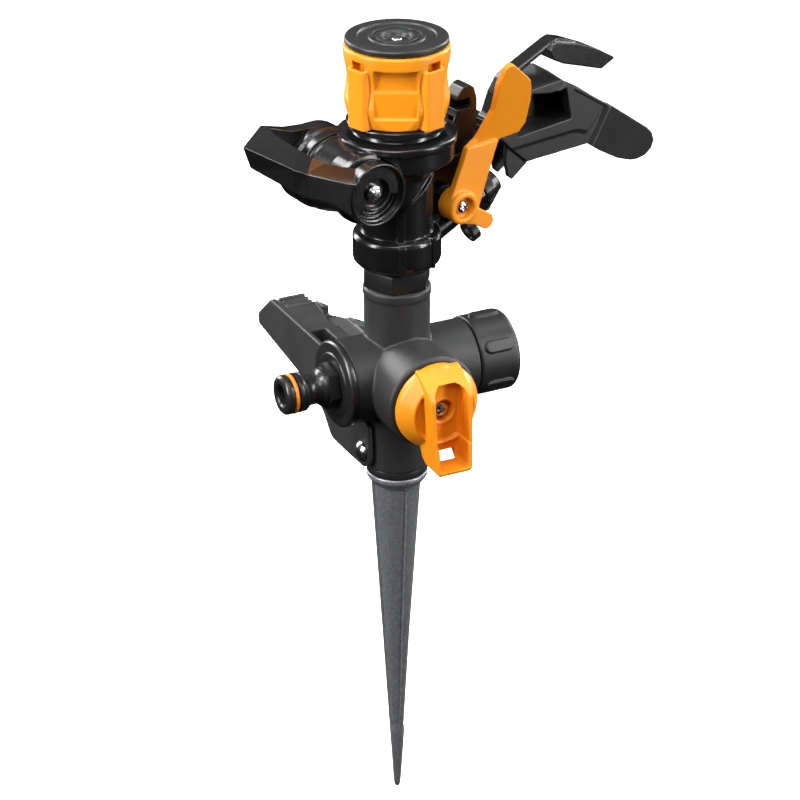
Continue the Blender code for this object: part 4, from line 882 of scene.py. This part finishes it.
# ---------------------------------------------------------------- materials
class Mat:
    def __init__(self, name):
        self.m = bpy.data.materials.new(name)
        self.m.use_nodes = True
        self.nt = self.m.node_tree
        self.b = self.nt.nodes['Principled BSDF']
        self.tc = self.nt.nodes.new('ShaderNodeTexCoord')
    def set(self, **kw):
        for k, v in kw.items():
            self.b.inputs[k.replace('_', ' ')].default_value = v
        return self
    def noise(self, scale, detail=4.0, rough=0.6, stretch=None):
        n = self.nt.nodes.new('ShaderNodeTexNoise')
        n.inputs['Scale'].default_value = scale
        n.inputs['Detail'].default_value = detail
        n.inputs['Roughness'].default_value = rough
        if stretch:
            mp = self.nt.nodes.new('ShaderNodeMapping')
            mp.inputs['Scale'].default_value = stretch
            self.nt.links.new(self.tc.outputs['Object'], mp.inputs['Vector'])
            self.nt.links.new(mp.outputs['Vector'], n.inputs['Vector'])
        else:
            self.nt.links.new(self.tc.outputs['Object'], n.inputs['Vector'])
        return n.outputs['Fac']
    def ramp(self, fac, stops):
        r = self.nt.nodes.new('ShaderNodeValToRGB')
        el = r.color_ramp.elements
        while len(el) < len(stops):
            el.new(0.5)
        for e, (p, c) in zip(el, stops):
            e.position = p
            e.color = (c[0], c[1], c[2], 1) if not isinstance(c, float) else (c, c, c, 1)
        self.nt.links.new(fac, r.inputs['Fac'])
        return r.outputs['Color']
    def mapr(self, fac, a, b, lo=0.0, hi=1.0):
        r = self.nt.nodes.new('ShaderNodeMapRange')
        r.inputs['From Min'].default_value = lo
        r.inputs['From Max'].default_value = hi
        r.inputs['To Min'].default_value = a
        r.inputs['To Max'].default_value = b
        self.nt.links.new(fac, r.inputs['Value'])
        return r.outputs['Result']
    def link(self, out, socket):
        self.nt.links.new(out, self.b.inputs[socket])
        return self
    def bump(self, fac, strength, dist, chain=None):
        n = self.nt.nodes.new('ShaderNodeBump')
        n.inputs['Strength'].default_value = strength
        n.inputs['Distance'].default_value = dist
        self.nt.links.new(fac, n.inputs['Height'])
        if chain is not None:
            self.nt.links.new(chain, n.inputs['Normal'])
        return n.outputs['Normal']

def matte_black(name, base=0.030, rough=0.50, grain=1.0):
    k = Mat(name)
    fine = k.noise(2600.0, 2.0, 0.6)
    broad = k.noise(70.0, 3.0, 0.5)
    k.link(k.ramp(fine, [(0.3, (base * 0.72, base * 0.73, base * 0.76)), (0.75, (base * 1.35, base * 1.36, base * 1.40))]), 'Base Color')
    k.link(k.mapr(broad, rough - 0.05, rough + 0.05, 0.3, 0.7), 'Roughness')
    k.link(k.bump(fine, 0.35 * grain, 0.00012), 'Normal')
    k.set(Specular_IOR_Level=0.5)
    return k.m

def gloss_black(name, base=0.007, rough=0.24):
    k = Mat(name)
    broad = k.noise(45.0, 2.0, 0.5)
    fine = k.noise(900.0, 2.0, 0.5)
    k.link(k.ramp(broad, [(0.3, (base * 0.8, base * 0.8, base * 0.85)), (0.7, (base * 1.25, base * 1.2, base * 1.2))]), 'Base Color')
    k.link(k.mapr(fine, rough - 0.02, rough + 0.03, 0.3, 0.7), 'Roughness')
    k.link(k.bump(broad, 0.05, 0.0003), 'Normal')
    k.set(Specular_IOR_Level=0.5, Coat_Weight=0.25, Coat_Roughness=0.06)
    return k.m

def orange_plastic(name):
    k = Mat(name)
    broad = k.noise(60.0, 3.0, 0.5)
    fine = k.noise(2200.0, 2.0, 0.5)
    k.link(k.ramp(broad, [(0.25, (0.80, 0.262, 0.008)), (0.75, (0.85, 0.295, 0.010))]), 'Base Color')
    k.link(k.mapr(broad, 0.34, 0.42, 0.3, 0.7), 'Roughness')
    k.link(k.bump(fine, 0.10, 0.00006), 'Normal')
    k.set(Specular_IOR_Level=0.45, Subsurface_Weight=0.12, Subsurface_Scale=0.0012)
    k.b.inputs['Subsurface Radius'].default_value = (1.0, 0.4, 0.1)
    return k.m

def steel(name, rough=0.18):
    k = Mat(name)
    f = k.noise(500.0, 3.0, 0.6, (1.0, 1.0, 12.0))
    k.link(k.ramp(f, [(0.3, (0.62, 0.62, 0.63)), (0.7, (0.82, 0.82, 0.82))]), 'Base Color')
    k.link(k.mapr(f, rough - 0.05, rough + 0.1, 0.3, 0.7), 'Roughness')
    k.set(Metallic=1.0)
    return k.m

def cast_silver(name):
    k = Mat(name)
    flake = k.noise(1700.0, 2.0, 0.7)
    orange = k.noise(380.0, 3.0, 0.6)
    k.link(k.ramp(flake, [(0.25, (0.20, 0.205, 0.215)), (0.55, (0.33, 0.335, 0.35)), (0.80, (0.60, 0.61, 0.63))]), 'Base Color')
    k.link(k.mapr(flake, 0.34, 0.55, 0.3, 0.7), 'Roughness')
    k.link(k.bump(orange, 0.35, 0.00018, k.bump(flake, 0.25, 0.00008)), 'Normal')
    k.set(Metallic=0.75, Specular_IOR_Level=0.5)
    return k.m

def plain(name, rgb, rough):
    k = Mat(name)
    f = k.noise(900.0, 3.0, 0.6)
    k.link(k.ramp(f, [(0.3, tuple(c * 0.88 for c in rgb)), (0.7, tuple(min(1.0, c * 1.1) for c in rgb))]), 'Base Color')
    k.link(k.mapr(f, rough - 0.05, rough + 0.05, 0.3, 0.7), 'Roughness')
    k.link(k.bump(f, 0.15, 0.0001), 'Normal')
    return k.m

# ---------------------------------------------------------------- scene
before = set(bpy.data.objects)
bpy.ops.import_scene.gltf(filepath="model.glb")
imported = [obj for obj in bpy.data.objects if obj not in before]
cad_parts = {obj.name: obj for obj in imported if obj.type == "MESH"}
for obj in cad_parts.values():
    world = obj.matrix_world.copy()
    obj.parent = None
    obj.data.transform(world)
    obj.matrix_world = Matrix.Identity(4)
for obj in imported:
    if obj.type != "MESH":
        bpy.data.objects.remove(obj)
cad_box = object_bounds()

M_MATTE = matte_black('matte_black_grain', 0.021, 0.48)
M_MATTE_FINE = matte_black('matte_black_fine', 0.016, 0.40, 0.5)
M_GLOSS = gloss_black('gloss_black_moulded')
M_SATIN = gloss_black('satin_black_moulded', 0.012, 0.32)
M_DEFL = matte_black('matte_black_deflector', 0.014, 0.40, 0.6)
M_ORANGE = orange_plastic('orange_satin')
M_SEAL = plain('orange_seal_rubber', (0.80, 0.23, 0.012), 0.45)
M_STEEL = steel('stainless_bright')
M_CAST = cast_silver('silver_cast')
M_RUBBER = plain('rubber_black', (0.015, 0.015, 0.015), 0.7)
M_WHITE = plain('bearing_plastic_white', (0.70, 0.68, 0.62), 0.45)

for node, mat in dict(swivel_tube=M_WHITE, thrust_washer=M_WHITE, axle_bush=M_WHITE, valve_plug=M_WHITE,
                      valve_plug_o_ring=M_RUBBER, cap_washer=M_RUBBER, trip_pin=M_STEEL).items():
    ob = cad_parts[node]
    ob.data.materials.clear() if False else None
    for s in ob.material_slots:
        s.material = mat

# fixed base
show('ground_spike_skin', ground_spike_hi(), M_CAST, 'base', ['ground_spike'], 40)
show('spike_socket_ring_skin', edged(socket_ring(), 0.25), M_MATTE_FINE, 'base', ['spike_socket_ring'])
show('base_body_skin', moulded(base_body(), 0.34, 8), M_MATTE, 'base', ['base_body'], 0)
show('inlet_flange_skin', edged(inlet_flange(), 0.2), M_SATIN, 'base', ['inlet_flange'])
show('inlet_nipple_skin', edged(inlet_nipple_hi(), 0.2), M_SATIN, 'base', ['inlet_nipple'])
show('nipple_o_ring_skin', ring_torus(6.4, 8.05, -46.0, 96, MX, 20), M_SEAL, 'base', ['nipple_o_ring'], 0)
show('step_rivet_skin', step_rivet_hi(), M_STEEL, 'base', ['step_rivet'])
show('swivel_nut_skin', edged(swivel_nut(), 0.35), M_SATIN, 'base', ['swivel_nut'])
show('foot_step_skin', moulded(foot_step_hi(), 0.42, 5), M_MATTE, 'step', ['foot_step'], 0)
show('valve_knob_skin', moulded(valve_knob_hi(), 0.26, 6), M_ORANGE, 'valve', ['valve_knob'], 0)
show('valve_screw_skin', edged(screw_hi(MV @ T(0, 0, 38.6)), 0.12), M_STEEL, 'valve', ['valve_screw'])
show('outlet_cap_skin', outlet_cap_hi(), M_MATTE_FINE, 'cap', ['outlet_cap'], 0)
# head
show('head_body_skin', moulded(head_body_hi(), 0.24, 5), M_GLOSS, 'head', ['head_body'], 0)
show('main_nozzle_skin', edged(main_nozzle(), 0.15), M_SATIN, 'head', ['main_nozzle'])
show('spreader_nozzle_skin', moulded(nozzle_plate(), 0.24, 5), M_SATIN, 'head', ['spreader_nozzle'], 0)
show('arm_axle_skin', edged(axle_hi(), 0.15), M_STEEL, 'head', ['arm_axle'])
show('arm_torsion_spring_skin', spring_hi(), M_STEEL, 'head', ['arm_torsion_spring'], 0)
show('knob_seat_skin', edged(knob_seat(), 0.3), M_GLOSS, 'head', ['knob_seat'])
show('centre_pin_skin', edged(centre_pin(), 0.2), M_STEEL, 'head', ['centre_pin'])
# drive arm
show('counterweight_yoke_skin', moulded(counterweight_hi(), 0.22, 4), M_GLOSS, 'drive_arm', ['counterweight_yoke'], 0)
show('front_arm_skin', moulded(front_arm(), 0.24, 5), M_GLOSS, 'drive_arm', ['front_arm'], 0)
show('deflector_skin', moulded(deflector_hi(), 0.22, 4), M_DEFL, 'drive_arm', ['deflector'], 0)
# levers
show('diffuser_lever_skin', moulded(diffuser_hi(), 0.25, 6), M_ORANGE, 'breaker', ['diffuser_lever'], 0)
show('diffuser_screw_skin', edged(screw_hi(MD @ T(0, 0, 16.0), 2.7), 0.1), M_STEEL, 'breaker', ['diffuser_screw'])
show('trip_lever_skin', moulded(trip_lever(), 0.24, 5), M_SATIN, 'trip', ['trip_lever'], 0)
# top knob
show('range_knob_skin', moulded(range_knob_hi(), 0.28, 5), M_ORANGE, 'top_knob', ['range_knob'], 0)
show('knob_disc_skin', edged(knob_disc_hi(), 0.18), M_MATTE_FINE, 'top_knob', ['knob_disc'])

# ---------------------------------------------------------------- floor, camera, light
def floor():
    me = new_mesh('floor', [(-6, -6, 0), (6, -6, 0), (6, 6, 0), (-6, 6, 0)], [(0, 1, 2, 3)])
    ob = bpy.data.objects.new('floor', me)
    ob.location = (0, 0, cad_box[0][2] - 0.0005)
    bpy.context.scene.collection.objects.link(ob)
    k = Mat('floor_pale')
    k.set(Base_Color=(0.90, 0.90, 0.90, 1), Roughness=0.9, Specular_IOR_Level=0.0, Emission_Color=(1, 1, 1, 1), Emission_Strength=0.80)
    me.materials.append(k.m)
    ob.visible_glossy = False
    ob.visible_diffuse = False

floor()

cam_d = bpy.data.cameras.new('camera')
cam_d.lens = 125.7
cam_d.sensor_width = 36.0
cam = bpy.data.objects.new('camera', cam_d)
bpy.context.scene.collection.objects.link(cam)
AZ, EL = 26.5, 26.5
fwd = Vector((0.446 * math.cos(math.radians(EL)), 0.895 * math.cos(math.radians(EL)), -math.sin(math.radians(EL))))
cam.location = (-0.4396, -0.8848, 0.5252)
cam.rotation_euler = fwd.to_track_quat('-Z', 'Y').to_euler()
bpy.context.scene.camera = cam

def area(name, az, el, dist, sx, sy, power, target=(0, 0, 0.03), color=(1, 1, 1)):
    """Softbox at an azimuth to the camera's right, looking at the target."""
    a = math.radians(-116.4 + az)
    e = math.radians(el)
    t = Vector(target)
    p = t + Vector((math.cos(a) * math.cos(e), math.sin(a) * math.cos(e), math.sin(e))) * dist
    d = bpy.data.lights.new(name, 'AREA')
    d.shape = 'RECTANGLE'
    d.size, d.size_y = sx, sy
    d.energy = power
    d.color = color
    ob = bpy.data.objects.new(name, d)
    ob.location = p
    ob.rotation_euler = (t - p).to_track_quat('-Z', 'Y').to_euler()
    bpy.context.scene.collection.objects.link(ob)
    return ob

area('key_left', -62, 30, 1.0, 0.24, 1.0, 14.0)
area('key_front', -12, 48, 1.2, 0.6, 0.4, 5.5)
area('fill_right', 70, 20, 1.0, 0.20, 1.0, 10.0)
area('top', 10, 84, 1.2, 0.8, 0.8, 7.5)
area('rim_left', -130, 22, 0.9, 0.25, 0.9, 9.0)
area('rim_right', 128, 26, 0.9, 0.25, 0.9, 9.0)

w = bpy.data.worlds.new('studio')
w.use_nodes = True
nt = w.node_tree
wt = nt.nodes.new('ShaderNodeTexCoord')
sep = nt.nodes.new('ShaderNodeSeparateXYZ')
rmp = nt.nodes.new('ShaderNodeValToRGB')
rmp.color_ramp.elements[0].position = 0.0
rmp.color_ramp.elements[0].color = (0.02, 0.02, 0.02, 1)
rmp.color_ramp.elements[1].position = 0.9
rmp.color_ramp.elements[1].color = (0.55, 0.55, 0.56, 1)
nt.links.new(wt.outputs['Generated'], sep.inputs[0])
nt.links.new(sep.outputs['Z'], rmp.inputs['Fac'])
nt.links.new(rmp.outputs['Color'], nt.nodes['Background'].inputs['Color'])
nt.nodes['Background'].inputs['Strength'].default_value = 0.5
bpy.context.scene.world = w
bpy.context.scene.view_settings.view_transform = 'Standard'

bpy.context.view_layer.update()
